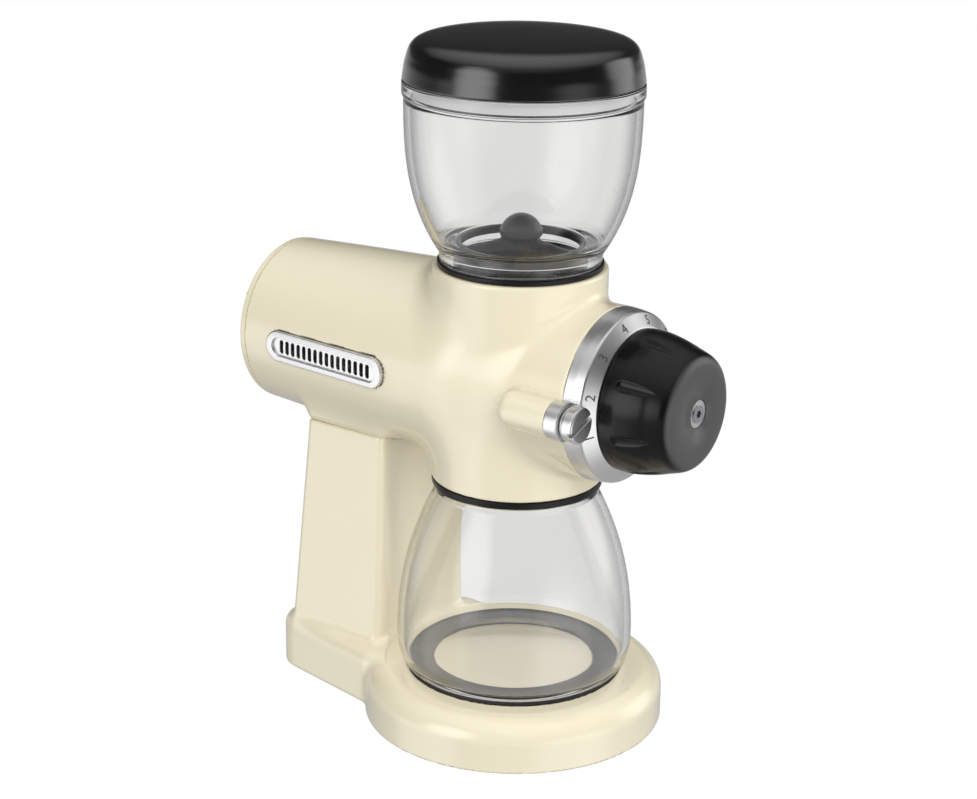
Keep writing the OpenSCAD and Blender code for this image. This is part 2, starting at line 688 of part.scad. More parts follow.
// Glass hopper with its neck
module hopper_glass() {
    rim = hopper_r - glass_t;
    inner = inset(bowl_pts(), glass_t);
    color(clear) place() rotate_extrude() polygon(concat(
        [[neck_r - 4, seat_z + 3], [neck_r, seat_z + 3], [neck_r, foot_z], [collar_r, foot_z]],
        bowl_pts(),
        [[hopper_r - 0.7, hopper_high - 7.4], [hopper_r + 0.2, hopper_high - 6.4],
            [hopper_r + 0.2, hopper_high - 1], [hopper_r - 0.8, hopper_high],
            [rim + 0.8, hopper_high], [rim, hopper_high - 0.8], [rim, hopper_high - 9]],
        [for (i = [len(inner) - 1:-1:1]) inner[i]],
        [[neck_r - 4, foot_z + ledge_h]]));
}

// Guard in the bottom of the hopper: ring, three arms and a dome
module bean_guard() color([0.25, 0.25, 0.26]) place() translate([0, 0, foot_z + ledge_h - 4.2]) {
    ring_r = neck_r - 4.3;
    difference() {
        cylinder(r = ring_r, h = 4.2);
        translate([0, 0, -1]) cylinder(r = ring_r - 2.3, h = 8);
    }
    for (a = [30, 150, 270]) rotate(a) translate([3, -1.2, 0]) {
        cube([ring_r - 4.2, 2.4, 4]);
        translate([0, 2.4, 0]) rotate([90, 0, 0]) linear_extrude(2.4)
            polygon([[0, 3.9], [ring_r - 7.7, 3.9], [8, 6.4], [0, 7]]);
    }
    rotate_extrude() polygon(concat([[0, 0], [4.5, 0], [4.5, 5.3], [8, 6.6], [10.5, 6.9]],
        arc([0, 7.1], 10.5, 0, 90, 10)));
}

// Lid with its plug
module hopper_lid() color(black) place() translate([0, 0, lid_low]) rotate_extrude() polygon(concat(
    [[0, lid_h - 11.6], [plug_r - 4.2, lid_h - 11.6], [plug_r - 3.2, lid_h - 12.6], [plug_r - 3.2, -7],
        [plug_r - 2.5, -7.6], [plug_r - 0.5, -7.6], [plug_r, -7], [plug_r, -6.5], [plug_r - 1.8, -6.5],
        [plug_r - 1.8, -0.8], [plug_r, -0.8], [plug_r, 0], [hopper_r - 0.6, 0], [hopper_r, 0.6]],
    [for (t = [0.16, 0.32, 0.46]) [hopper_r - 5.4 * pow(t, 1.2), lid_h * t]],
    arc([hopper_r - 7.6, lid_h - 8.2], 5.1, 2, 62, 6),
    [[hopper_r - 12, lid_h - 2.6], [hopper_r - 22, lid_h - 1.1], [hopper_r - 36, lid_h - 0.3], [0, lid_h]]));

// Sealing ring on the lid plug
module lid_seal() color([0.7, 0.7, 0.71]) place() translate([0, 0, lid_low]) rotate_extrude()
    polygon([[plug_r - 1.7, -6.4], [plug_r + 0.3, -6.4], [plug_r + 0.7, -3.6], [plug_r + 0.3, -0.9],
        [plug_r - 1.7, -0.9]]);

// Glass jar
module jar_glass() {
    floor_z = jar_low + glass_t + 0.8;
    inner = inset(jar_pts(), glass_t);
    color(clear) place() rotate_extrude() polygon(concat(
        [[0, jar_low + 1.2], [mat_in - 5, jar_low + 1.2], [mat_in - 1, jar_low]],
        jar_pts(),
        [[jar_neck_r, jar_high - 0.8], [jar_neck_r - 0.8, jar_high],
            [jar_neck_r - glass_t + 0.6, jar_high], [jar_neck_r - glass_t, jar_high - 0.8],
            [jar_neck_r - glass_t, jar_high - 4]],
        [for (i = [len(inner) - 2:-1:3]) inner[i]],
        [[jar_r - glass_t - 5.6, floor_z], [0, floor_z]]));
}

// Front cover with the dial band, the lugs and the guide hub
module front_cover() color(silver) grind() difference() {
    union() {
        rotate_extrude() polygon([[0, front_len + 0.05], [front_r, front_len + 0.05],
            [front_r, front_len + 1], [front_r - 0.4, front_len + 6],
            [front_r - 1, front_len + dial_band - 0.6], [front_r - 1.5, front_len + dial_band],
            [knob_r + 0.2, dial_face], [0, dial_face]]);
        disc(20, hub_back, front_len + 4.8);
        for (sx = [-1, 1]) translate([sx * boss_x, 0, front_len + 0.05]) {
            cylinder(r = thumb_r + 0.7, h = lug_top - front_len - 0.05, $fn = 64);
            translate([sx > 0 ? -14 : 0, -6.5, 0]) cube([14, 13, 7.2]);
        }
    }
    intersection() {
        disc(14 + fit, hub_back - 10, front_len + 10.8);
        translate([-12.3, -30, hub_back - 10]) cube([24.6, 60, 26]);
    }
    disc(8 + fit, hub_back - 10, dial_face + 20);
    ring(chamber_r, 22, front_len - 3, front_len + 7);
    for (sx = [-1, 1]) translate([sx * boss_x, 0, 0]) {
        disc(3 + fit, hub_back - 10, dial_face + 20);
        disc(thumb_r + gap, lug_top, dial_face + 20);
    }
}

// Grip knob with finger hollows
module knob() color(black) grind() difference() {
    rotate_extrude() polygon(concat(
        [[0, knob_base], [knob_r - 0.5, knob_base], [knob_r, knob_base + 0.5]],
        [for (p = [[0.12, 1], [0.24, 0.994], [0.35, 0.977], [0.47, 0.953], [0.59, 0.922], [0.68, 0.892],
            [0.77, 0.866], [0.83, 0.848], [0.88, 0.831], [0.925, 0.808], [0.962, 0.775], [0.986, 0.731],
            [0.997, 0.68], [1, 0.63], [1, 0]]) [knob_r * p[1], knob_base + knob_h * p[0]]]));
    for (i = [0:knob_hollows - 1]) rotate(i * 360 / knob_hollows + 61)
        translate([knob_r + 3.2, 0, knob_base + 0.3 * knob_h]) rotate([0, -16, 0]) rotate_extrude($fn = 48)
            polygon(concat(arc([0, 0], 4.7, -90, -9, 7), [[2.6, 24], [0, 24]]));
    disc(4.6, knob_base - 1, knob_base + 14);
    disc(2.5 + fit, knob_base, knob_front + 1);
    disc(6.9, knob_front - 2, knob_front + 1);
}

// Washer under the knob screw
module knob_washer() color(silver) grind() ring(6.7, 2.5 + fit, knob_front - 1.9, knob_front - 0.7);

// Hex socket screw of the knob
module knob_screw() color(steel) grind() difference() {
    union() {
        disc(2.5, knob_base + 5.7, knob_front - 0.6);
        disc(4.4, knob_front - 0.65, knob_front - 0.05);
    }
    translate([0, 0, knob_front - 3]) cylinder(r = 2, h = 4, $fn = 6);
}

// Spindle that the knob turns, threaded into the burr carrier
module adjusting_screw() color(steel) grind() difference() {
    union() {
        disc(7, front_len - 3.2, front_len + 8.8);
        disc(10.5, front_len + 8.5, front_len + 10.6);
        disc(8, front_len + 10.5, knob_base - 0.05);
        disc(4.5, knob_base - 0.1, knob_base + 13.6);
    }
    disc(2.5 + fit, knob_base - 0.3, knob_base + 30);
}

// Sliding carrier of the outer burr
module burr_carrier() color(steel) grind() difference() {
    union() {
        disc(burr_r + 2.5, carrier_back, carrier_front);
        intersection() {
            disc(14, carrier_back, front_len + 7);
            translate([-12, -30, carrier_back]) cube([24, 60, 30]);
        }
    }
    disc(7 + fit, front_len - 4.7, front_len + 15);
    at_burr_screws() translate([0, 0, carrier_back - 3]) cylinder(r = 1.4 + fit, h = 20, $fn = 32);
}

// Places of the three screws of a burr
module at_burr_screws() {
    for (a = [60, 180, 300]) rotate(a) translate([bolt_r, 0, 0]) children();
}

// Ring burr with radial teeth on its front
module burr() {
    difference() {
        ring(burr_r, burr_in_r, 0, burr_t);
        for (i = [0:burr_teeth - 1]) rotate((i + 0.47) * 360 / burr_teeth)
            translate([burr_in_r - 3, 2.4, burr_t + 0.25]) rotate([0, 3.2, 8]) rotate([45, 0, 0])
                translate([0, -1.3, -1.3]) cube([burr_r - burr_in_r + 10.5, 2.6, 2.6]);
        at_burr_screws() translate([0, 0, -1]) {
            cylinder(r = 1.4 + fit, h = 20, $fn = 32);
            translate([0, 0, burr_t - 1.8]) cylinder(r = 2.7, h = 9, $fn = 32);
        }
    }
}

// Burr on the carrier, facing back
module outer_burr() color(steel) grind() translate([0, 0, carrier_back]) mirror([0, 0, 1]) burr();

// Screws of the outer burr
module outer_burr_screws() color(steel) grind() at_burr_screws()
    translate([0, 0, carrier_back]) mirror([0, 0, 1]) burr_screw(4.5);

// Flat headed screw in a burr with its shank below
module burr_screw(h) {
    translate([0, 0, burr_t - 2.75]) cylinder(r = 2.6, h = 1.2, $fn = 32);
    translate([0, 0, -h]) cylinder(r = 1.4, h = h + burr_t - 2.7, $fn = 32);
}

// Slotted thumb screw that holds the front cover
module thumb_screw(sx) color(silver) grind() translate([sx * boss_x, 0, 0]) difference() {
    rotate_extrude() polygon([[0, front_len - 14], [3, front_len - 14], [3, front_len + 8],
        [7.4, front_len + 8], [7.4, front_len + 9.2], [thumb_r - 0.5, front_len + 9.4],
        [thumb_r, front_len + 10], [thumb_r, front_len + 14.6], [thumb_r - 1, front_len + 15.8],
        [0, front_len + 15.8]], $fn = 64);
    translate([0, 0, front_len + 15]) rotate(20) cube([30, 2.2, 4.4], center = true);
}

module thumb_screw_left() thumb_screw(-1);

module thumb_screw_right() thumb_screw(1);

// Shaft from the output gear to the inner burr
module drive_shaft() color(steel) grind() {
    disc(shaft_r, -bulkhead - 14.2, plate_back - 0.05);
    disc(nose_r, plate_back - 0.15, plate_front + 5.2);
}

// Feed auger on the shaft
module auger() color(steel) grind() {
    back = 4 - feed_back;
    front = plate_back - 2.05;
    long = front - back - 1;
    ring(shaft_r + 2.5, shaft_r + 0.05, back, front);
    translate([0, 0, back + 0.5])
        linear_extrude(long, twist = -360 * long / auger_pitch, slices = 50, $fn = 14)
            polygon(concat(arc([0, 0], auger_r, 0, 58, 5), arc([0, 0], shaft_r + 2, 58, 0, 3)));
}

// Spoked plate that drives the inner burr
module drive_plate() color(steel) grind() difference() {
    disc(burr_r - 0.5, plate_back, plate_front);
    disc(nose_r + 0.05, plate_back - 8, plate_front + 9);
    for (a = [0, 120, 240]) rotate(a) for (b = [-24, 0, 24]) rotate(b)
        translate([burr_in_r - 2, 0, plate_back - 8]) cylinder(r = 3.6, h = 20, $fn = 48);
    at_burr_screws() translate([0, 0, plate_back - 8]) cylinder(r = 1.4 + fit, h = 20, $fn = 32);
}

// Burr on the drive plate, facing forward
module inner_burr() color(steel) grind() translate([0, 0, plate_front]) burr();

// Screws of the inner burr
module inner_burr_screws() color(steel) grind() at_burr_screws()
    translate([0, 0, plate_front]) burr_screw(2.9);

// Nut that clamps the drive plate
module burr_nut() color(steel) grind() difference() {
    translate([0, 0, plate_front + 0.05]) cylinder(r = nose_r + 3.2, h = 4.4, $fn = 6);
    disc(nose_r + 0.05, plate_front - 1, plate_front + 9);
}

// Output gear on the drive shaft
module output_gear() color([0.85, 0.82, 0.72]) grind() difference() {
    translate([0, 0, -bulkhead - 14]) linear_extrude(8.5)
        polygon(gear_pts(output_teeth, -90 + 180 / output_teeth));
    disc(shaft_r + 0.05, -bulkhead - 25, -bulkhead + 5);
}

// Shaft of the two middle gears
module layshaft() color(steel) grind() translate([0, -lay_z, 0]) disc(3, -plate_at - 3.6, -bulkhead + 6);

// Large and small middle gear in one piece
module layshaft_gear() color([0.85, 0.82, 0.72]) grind() translate([0, -lay_z, 0]) difference() {
    union() {
        translate([0, 0, -plate_at + 2]) linear_extrude(7)
            polygon(gear_pts(wheel_teeth, 90 + 180 / wheel_teeth));
        disc(4.4, -plate_at + 8.9, -bulkhead - 14.9);
        translate([0, 0, -bulkhead - 15]) linear_extrude(10.5) polygon(gear_pts(lay_teeth, 90));
    }
    disc(3.05, -plate_at - 9, -bulkhead + 15);
}

// Motor shaft
module motor_shaft() color(steel) grind() disc(2.5, 3 - cast_rear, -plate_at + 10.6);

// Laminated armature with winding slots
module armature() color([0.5, 0.3, 0.16]) grind() difference() {
    disc(motor_r - 7.2, -can_rear + 10, -can_front - 10.8);
    disc(2.55, -can_rear - 2, -can_front + 5);
    for (i = [0:9]) rotate(i * 36) translate([motor_r - 16, -1.4, -can_rear])
        cube([20, 2.8, can_rear - can_front]);
}

// Commutator
module commutator() color([0.72, 0.45, 0.2]) grind() ring(8, 2.55, -can_rear + 2, -can_rear + 9.5);

// Motor pinion
module motor_pinion() color(steel) grind() difference() {
    translate([0, 0, -plate_at + 1]) linear_extrude(8.8) polygon(gear_pts(pinion_teeth, -90));
    disc(2.55, -plate_at - 9, -bulkhead);
}

// Fan behind the motor
module cooling_fan() color(black) grind() difference() {
    union() {
        disc(motor_r - 3, -fan_at - 1.5, -fan_at);
        disc(6, -fan_at - 5.5, -fan_at);
        for (i = [0:8]) rotate(i * 40) translate([4, -0.8, -fan_at - 5.5]) cube([motor_r - 8, 1.6, 5]);
    }
    disc(2.55, -fan_at - 11, -fan_at + 4);
}

body_casting();
rear_cover();
rear_cover_screws();
pedestal();
neck_screws();
base_plate();
base_screws();
rubber_feet();
jar_mat();
discharge_seal();
hopper_gasket();
vent_left();
vent_right();
gear_plate();
gear_plate_screws();
motor_can();
field_magnets();
motor_end_cap();
brush_holders();
motor_screws();
auger_bush();
auger_seal();
layshaft_bushes();
motor_bushes();
switch_bezel();
switch_rocker();
cord_gland();
control_board();
hopper_glass();
bean_guard();
hopper_lid();
lid_seal();
jar_glass();
front_cover();
knob();
knob_washer();
knob_screw();
adjusting_screw();
burr_carrier();
outer_burr();
outer_burr_screws();
thumb_screw_left();
thumb_screw_right();
drive_shaft();
auger();
drive_plate();
inner_burr();
inner_burr_screws();
burr_nut();
output_gear();
layshaft();
layshaft_gear();
motor_shaft();
armature();
commutator();
motor_pinion();
cooling_fan();
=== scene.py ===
import math

import bmesh
import bpy
import numpy as np
from mathutils import Matrix, Vector


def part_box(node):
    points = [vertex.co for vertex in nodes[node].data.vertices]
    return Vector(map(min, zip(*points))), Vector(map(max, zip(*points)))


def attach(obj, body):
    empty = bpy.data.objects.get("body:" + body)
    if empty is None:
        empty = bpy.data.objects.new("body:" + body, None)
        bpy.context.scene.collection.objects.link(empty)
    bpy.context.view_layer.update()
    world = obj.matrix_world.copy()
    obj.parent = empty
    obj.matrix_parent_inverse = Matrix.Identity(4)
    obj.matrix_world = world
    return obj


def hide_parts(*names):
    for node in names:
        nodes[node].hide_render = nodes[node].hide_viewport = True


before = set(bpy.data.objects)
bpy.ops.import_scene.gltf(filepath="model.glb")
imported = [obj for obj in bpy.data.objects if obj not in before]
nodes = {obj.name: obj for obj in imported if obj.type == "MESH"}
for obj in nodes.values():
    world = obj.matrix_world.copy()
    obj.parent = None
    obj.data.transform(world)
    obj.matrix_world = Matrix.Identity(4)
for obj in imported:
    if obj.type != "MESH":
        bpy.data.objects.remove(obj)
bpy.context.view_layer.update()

mm = 0.001


def middle(node, axis):
    low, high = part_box(node)
    return (low[axis] + high[axis]) / 2


# All forms below are written in millimetres about the upright hopper axis.
axisY = middle("jar_glass", 1) / mm
grindZ = middle("knob", 2) / mm
print("frame loaded, hopper axis at y", round(axisY, 3), "grinding axis at z", round(grindZ, 3))


# Helpers for meshes

def toMetres(points):
    points = np.asarray(points, dtype=float)
    return (points + np.array([0.0, axisY, 0.0])) * mm


def addMesh(name, points, faces, body, replaced=()):
    mesh = bpy.data.meshes.new(name)
    mesh.from_pydata([tuple(p) for p in points], [], [tuple(f) for f in faces])
    mesh.validate()
    for face in mesh.polygons:
        face.use_smooth = True
    piece = bpy.data.objects.new(name, mesh)
    bpy.context.collection.objects.link(piece)
    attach(piece, body)
    if replaced:
        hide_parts(*replaced)
    return piece


def curve(points, steps=8):
    # A smooth line that passes through every point.
    pts = np.array(points, dtype=float)
    ends = np.vstack([2 * pts[0] - pts[1], pts, 2 * pts[-1] - pts[-2]])
    out = []
    for i in range(1, len(ends) - 2):
        a, b, c, d = ends[i - 1], ends[i], ends[i + 1], ends[i + 2]
        for t in np.arange(steps) / steps:
            out.append(0.5 * (2 * b + (c - a) * t + (2 * a - 5 * b + 4 * c - d) * t * t
                              + (3 * b - a - 3 * c + d) * t ** 3))
    out.append(pts[-1])
    return [tuple(p) for p in out]


def rounded(corners, steps=6):
    # Each corner is (r, h, fillet radius), and the last one leads back to the first.
    out = []
    count = len(corners)
    for i in range(count):
        p = np.array(corners[i][:2], dtype=float)
        radius = corners[i][2]
        if radius <= 0:
            out.append(tuple(p))
            continue
        before = np.array(corners[i - 1][:2]) - p
        after = np.array(corners[(i + 1) % count][:2]) - p
        before = before / np.linalg.norm(before)
        after = after / np.linalg.norm(after)
        half = math.acos(float(np.clip(before @ after, -1, 1))) / 2
        reach = radius / math.tan(half)
        bisector = (before + after) / np.linalg.norm(before + after)
        centre = p + bisector * radius / math.sin(half)
        start, end = p + before * reach - centre, p + after * reach - centre
        a0 = math.atan2(start[1], start[0])
        turn = (math.atan2(end[1], end[0]) - a0 + math.pi) % (2 * math.pi) - math.pi
        for k in range(steps + 1):
            a = a0 + turn * k / steps
            out.append(tuple(centre + radius * np.array([math.cos(a), math.sin(a)])))
    return out


def lathe(name, outline, body, replaced=(), axis="up", closed=True, segments=192, sharp=40, shape=None):
    # Turns an outline of (r, h) about the hopper axis, or about the grinding axis with h forward.
    ring = np.array(outline, dtype=float)
    turn = np.linspace(0, 2 * math.pi, segments, endpoint=False)
    r = np.repeat(ring[:, 0:1], segments, axis=1)
    h = np.repeat(ring[:, 1:2], segments, axis=1)
    angle = np.repeat(turn[None, :], len(ring), axis=0)
    if shape is not None:
        r, h = shape(r, h, angle)
    if axis == "up":
        points = np.stack([r * np.cos(angle), r * np.sin(angle), h], axis=-1)
    else:
        points = np.stack([r * np.sin(angle), -h, grindZ + r * np.cos(angle)], axis=-1)
    index = np.arange(len(ring) * segments).reshape(len(ring), segments)
    rows = len(ring) if closed else len(ring) - 1
    faces = []
    for i in range(rows):
        lower, upper = index[i], index[(i + 1) % len(ring)]
        quad = np.stack([lower, np.roll(lower, -1), np.roll(upper, -1), upper], axis=-1)
        faces.extend(quad.tolist())
    piece = addMesh(name, toMetres(points.reshape(-1, 3)), faces, body, replaced)
    work = bmesh.new()
    work.from_mesh(piece.data)
    bmesh.ops.remove_doubles(work, verts=work.verts, dist=0.02 * mm)
    bmesh.ops.recalc_face_normals(work, faces=work.faces)
    work.to_mesh(piece.data)
    work.free()
    piece.data.set_sharp_from_angle(angle=math.radians(sharp))
    return piece


# Helpers for forms that are blended like castings: distance fields and their skin

def softMin(a, b, k):
    h = np.clip(0.5 + 0.5 * (b - a) / k, 0, 1)
    return b + (a - b) * h - k * h * (1 - h)


def softMax(a, b, k):
    return -softMin(-a, -b, k)


def upright(x, y, z, r, low, high, edge=0.6, at=(0, 0)):
    return softMax(np.hypot(x - at[0], y - at[1]) - r, np.maximum(low - z, z - high), edge)


def forward(x, y, z, r, back, front, edge=0.6, at=(0, None)):
    height = grindZ if at[1] is None else at[1]
    return softMax(np.hypot(x - at[0], z - height) - r, np.maximum(y - back, front - y), edge)


def block(x, y, z, low, high, edge):
    middleAt = [(a + b) / 2 for a, b in zip(low, high)]
    half = [(b - a) / 2 - edge for a, b in zip(low, high)]
    q = [np.abs(v - m) - h for v, m, h in zip((x, y, z), middleAt, half)]
    outside = np.sqrt(sum(np.maximum(v, 0) ** 2 for v in q))
    return outside + np.minimum(np.maximum(np.maximum(q[0], q[1]), q[2]), 0) - edge


def skin(name, field, low, high, cell, body, replaced=()):
    # Each cell that the surface crosses gives a point on it, and each crossed edge a face.
    axes = [np.arange(a - 2 * cell, b + 3 * cell, cell) for a, b in zip(low, high)]
    grid = field(axes[0][:, None, None], axes[1][None, :, None], axes[2][None, None, :]).astype(np.float32)
    inside = grid < 0
    n = [len(a) - 1 for a in axes]
    corner = [(i, j, k) for i in (0, 1) for j in (0, 1) for k in (0, 1)]

    def part(a, c):
        return a[c[0]:c[0] + n[0], c[1]:c[1] + n[1], c[2]:c[2] + n[2]]

    count = sum(part(inside, c).astype(np.int8) for c in corner)
    cells = np.argwhere((count > 0) & (count < 8))
    number = -np.ones(n, dtype=np.int64)
    number[tuple(cells.T)] = np.arange(len(cells))
    total, hits = np.zeros((len(cells), 3)), np.zeros((len(cells), 1))
    for c in corner:
        for axis in range(3):
            if c[axis]:
                continue
            d = tuple(c[m] + (m == axis) for m in range(3))
            a = grid[tuple((cells + c).T)].astype(float)
            b = grid[tuple((cells + d).T)].astype(float)
            cross = (a < 0) != (b < 0)
            t = np.where(cross, a / np.where(cross, a - b, 1), 0)
            spot = np.tile(np.array(c, dtype=float), (len(cells), 1))
            spot[:, axis] = t
            total += np.where(cross[:, None], spot, 0)
            hits += cross[:, None]
    points = (cells + total / hits) * cell + np.array([a[0] for a in axes])
    slopeStep = 0.25 * cell

    def slope(p):
        x, y, z = p.T
        return np.stack([
            field(x + slopeStep, y, z) - field(x - slopeStep, y, z),
            field(x, y + slopeStep, z) - field(x, y - slopeStep, z),
            field(x, y, z + slopeStep) - field(x, y, z - slopeStep)], axis=-1) / (2 * slopeStep)

    for _ in range(3):
        g = slope(points)
        move = field(*points.T)[:, None] * g / np.maximum((g * g).sum(1, keepdims=True), 0.2)
        length = np.linalg.norm(move, axis=1, keepdims=True)
        points = points - move * np.minimum(1, 0.5 * cell / np.maximum(length, 1e-9))
    faces = []
    for axis in range(3):
        u, v = (axis + 1) % 3, (axis + 2) % 3
        first = [slice(1, n[m]) if m != axis else slice(0, n[m]) for m in range(3)]
        second = [slice(1, n[m]) if m != axis else slice(1, n[m] + 1) for m in range(3)]
        before, after = inside[tuple(first)], inside[tuple(second)]
        for state in (True, False):
            edge = np.argwhere((before != after) & (before == state))
            edge[:, u] += 1
            edge[:, v] += 1
            ring = []
            for du, dv in ((0, 0), (1, 0), (1, 1), (0, 1)):
                e = edge.copy()
                e[:, u] -= du
                e[:, v] -= dv
                ring.append(number[tuple(e.T)])
            ring = np.stack(ring if state else ring[::-1], axis=-1)
            faces.append(ring)
    faces = np.concatenate(faces)
    piece = addMesh(name, toMetres(points), faces.tolist(), body, replaced)
    normals = slope(points)
    normals /= np.maximum(np.linalg.norm(normals, axis=1, keepdims=True), 1e-9)
    piece.data.normals_split_custom_set_from_vertices(normals.tolist())
    print(name, len(points), "points")
    return piece


# Cast body

# A round hole is given by its radius and its two ends.
bodySize = dict(barrelR=43, barrelLow=130.2, barrelHigh=238.7, frontR=42.9, frontLen=55.2, coneR=52.4,
                rearR=42.8, rearLen=146.6, castRear=143.0, bossX=48.5, bossR=9.2, bossLen=26, seamZ=143,
                neckX=31.6, neckFront=61.5, neckRear=111, ventY=87, ventLen=79, ventH=16, ventGap=0.4,
                coneFlatR=20, coneEndY=26, coneEndR=31, coneEndBlend=10, coneBlend=13, frontBlend=5,
                neckBlend=9, bossBlend=4, neckCorner=3.5, seamGap=0.15, coneLean=0.998, frontRear=4,
                bossDome=4, neckH=30, ventFrom=30, motorBore=(38.6, 160, 45), driveBush=(9.1, 50, 32),
                driveSeal=(10.1, 33.4, 20), auger=(20.2, 30, -40), burrs=(36, -27, -70),
                beanThroat=(24, grindZ, 250), hopperGasket=(39.05, 226, 260), bell=(36.5, 100, 143.2),
                slotLow=(-14, -38.5, 140), slotHigh=(14, -28.5, 154), thumbHole=(3.1, -39.2, -70),
                layBush=(5.1, 50, 38.4), layDrop=21, plateScrew=(1.7, 50, 37), plateScrewR=34,
                plateScrewAngles=(90, 195, 345), neckScrewR=2.1, neckScrewY=88.75, neckScrewAt=(20, 12.25),
                wireR=6, wireAt=(0, 86.25))


def coneAt(y):
    s = bodySize
    return s["coneR"] + (s["rearR"] - s["coneR"]) * y / s["rearLen"]


def ventPill(y, z, length, height):
    s = bodySize
    along = np.maximum(np.abs(y - s["ventY"]) - (length - height) / 2, 0)
    return np.hypot(along, z - grindZ) - height / 2


def neckHoles(x, y, z, low, high):
    # The neck screws and the motor wires go through the seam between pedestal and body.
    s = bodySize
    fromMiddle = np.abs(y - s["neckScrewY"])
    return [upright(np.abs(x), fromMiddle, z, s["neckScrewR"], low, high, at=s["neckScrewAt"]),
            upright(x, y, z, s["wireR"], low, high, at=s["wireAt"])]


def bodyField(x, y, z):
    s = bodySize
    barrel = upright(x, y, z, s["barrelR"], s["barrelLow"], s["barrelHigh"], 1.6)
    radial = np.hypot(x, z - grindZ)
    cone = softMax((radial - coneAt(y)) * s["coneLean"], y - s["castRear"], 0.4)
    coneEnd = np.sqrt(np.maximum(radial - s["coneFlatR"], 0) ** 2 + np.minimum(y - s["coneEndY"], 0) ** 2)
    cone = softMax(cone, coneEnd - s["coneEndR"], s["coneEndBlend"])
    front = softMax(radial - s["frontR"], np.maximum(-s["frontLen"] - y, y - s["frontRear"]), 0.8)
    out = softMin(barrel, cone, s["coneBlend"])
    out = softMin(out, front, s["frontBlend"])
    neck = block(x, y, z, (-s["neckX"], s["neckFront"], s["seamZ"]),
                 (s["neckX"], s["neckRear"], s["seamZ"] + s["neckH"]), s["neckCorner"])
    neck = softMax(neck, s["seamZ"] + s["seamGap"] - z, 0.8)
    out = softMin(out, neck, s["neckBlend"])
    bossBack = -s["frontLen"] + s["bossLen"] - s["bossDome"]
    boss = (np.abs(x) - s["bossX"]) ** 2 + (z - grindZ) ** 2 + np.maximum(y - bossBack, 0) ** 2
    boss = softMax(np.sqrt(boss) - s["bossR"], -s["frontLen"] - y, 0.6)
    out = softMin(out, boss, s["bossBlend"])
    out = softMax(out, s["barrelLow"] - z, 0.8)
    ventLength, ventHeight = s["ventLen"] + s["ventGap"], s["ventH"] + s["ventGap"]
    holes = [forward(x, y, z, *s[key]) for key in ("motorBore", "driveBush", "driveSeal", "auger", "burrs")]
    holes += [upright(x, y, z, *s[key]) for key in ("beanThroat", "hopperGasket", "bell")]
    holes += neckHoles(x, y, z, 130, 150)
    holes += [
        block(x, y, z, s["slotLow"], s["slotHigh"], 1),
        forward(np.abs(x), y, z, *s["thumbHole"], at=(s["bossX"], None)),
        forward(x, y, z, *s["layBush"], at=(0, grindZ - s["layDrop"])),
        np.maximum(ventPill(y, z, ventLength, ventHeight), s["ventFrom"] - np.abs(x)),
    ]
    for angle in s["plateScrewAngles"]:
        a = math.radians(angle)
        at = (s["plateScrewR"] * math.cos(a), grindZ + s["plateScrewR"] * math.sin(a))
        holes.append(forward(x, y, z, *s["plateScrew"], at=at))
    for hole in holes:
        out = np.maximum(out, -hole)
    return out


bodyShell = skin("bodyShell", bodyField, low=(-59, -56, 129), high=(59, 144, 240), cell=0.95,
                 body="housing", replaced=["body_casting"])


# Pedestal with the round base

pedestalSize = dict(baseR=76.7, baseTop=28.4, footH=1.5, topX=31.6, lowX=36.1, front=61.5, topRear=111,
                    lowRear=121.2, corner=3.5, nestR=66, flangeX=47.2, flangeRearX=36, flangeRear=132,
                    flangeCorner=12, flangeTop=31, wall=5, roof=130, seamZ=143, matR=55, matIn=41.4,
                    matDeep=1.2, rimBack=13.5, rimDrop=12.6, rimR=13.2, columnFoot=22, columnFade=14,
                    plateH=2.7, bossR=4.5, switchZ=88, switchY=88, glandZ=15, sideEnd=2, cornerBlend=1.17,
                    flangeBlend=8, flangeStart=16, columnLow=11, rimSquash=1.05, coneGap=0.15, baseRoof=5.7,
                    baseWall=6, flangeRoof=4, shaftFront=10, shaftLow=15, bossHigh=23.9, bossIn=21.7,
                    bossFront=30, rearBossIn=6, rearBossFront=26, switchHalfZ=13.3, switchHalfY=9.2,
                    switchFrom=20, plateScrewR=1.6, plateScrewHigh=16, glandR=6.1, glandDeep=8)


def flangeField(x, y, z, draw, top):
    s = pedestalSize
    side = np.array([s["flangeRear"] - s["flangeCorner"] + s["sideEnd"] - s["front"],
                     s["flangeX"] - s["flangeRearX"]])
    side = side / np.linalg.norm(side)
    beyond = np.abs(x) - s["flangeX"]
    across = np.maximum(beyond * side[0] + (y - s["front"]) * side[1], beyond)
    plan = softMax(across, y - s["flangeRear"], s["cornerBlend"] * s["flangeCorner"]) + draw
    return softMax(softMax(plan, z - top, s["flangeBlend"]), s["front"] - s["flangeStart"] - y, 1)


def columnField(x, y, z, draw, front):
    s = pedestalSize
    t = (z - s["flangeTop"] + s["columnLow"]) / (s["seamZ"] - s["flangeTop"] + s["columnLow"])
    halfX = s["lowX"] + (s["topX"] - s["lowX"]) * t - draw
    rear = s["lowRear"] + (s["topRear"] - s["lowRear"]) * t - draw
    middleY, halfY, r = (rear + front) / 2, (rear - front) / 2, s["corner"]
    qx, qy = np.abs(x) - halfX + r, np.abs(y - middleY) - halfY + r
    return np.hypot(np.maximum(qx, 0), np.maximum(qy, 0)) + np.minimum(np.maximum(qx, qy), 0) - r


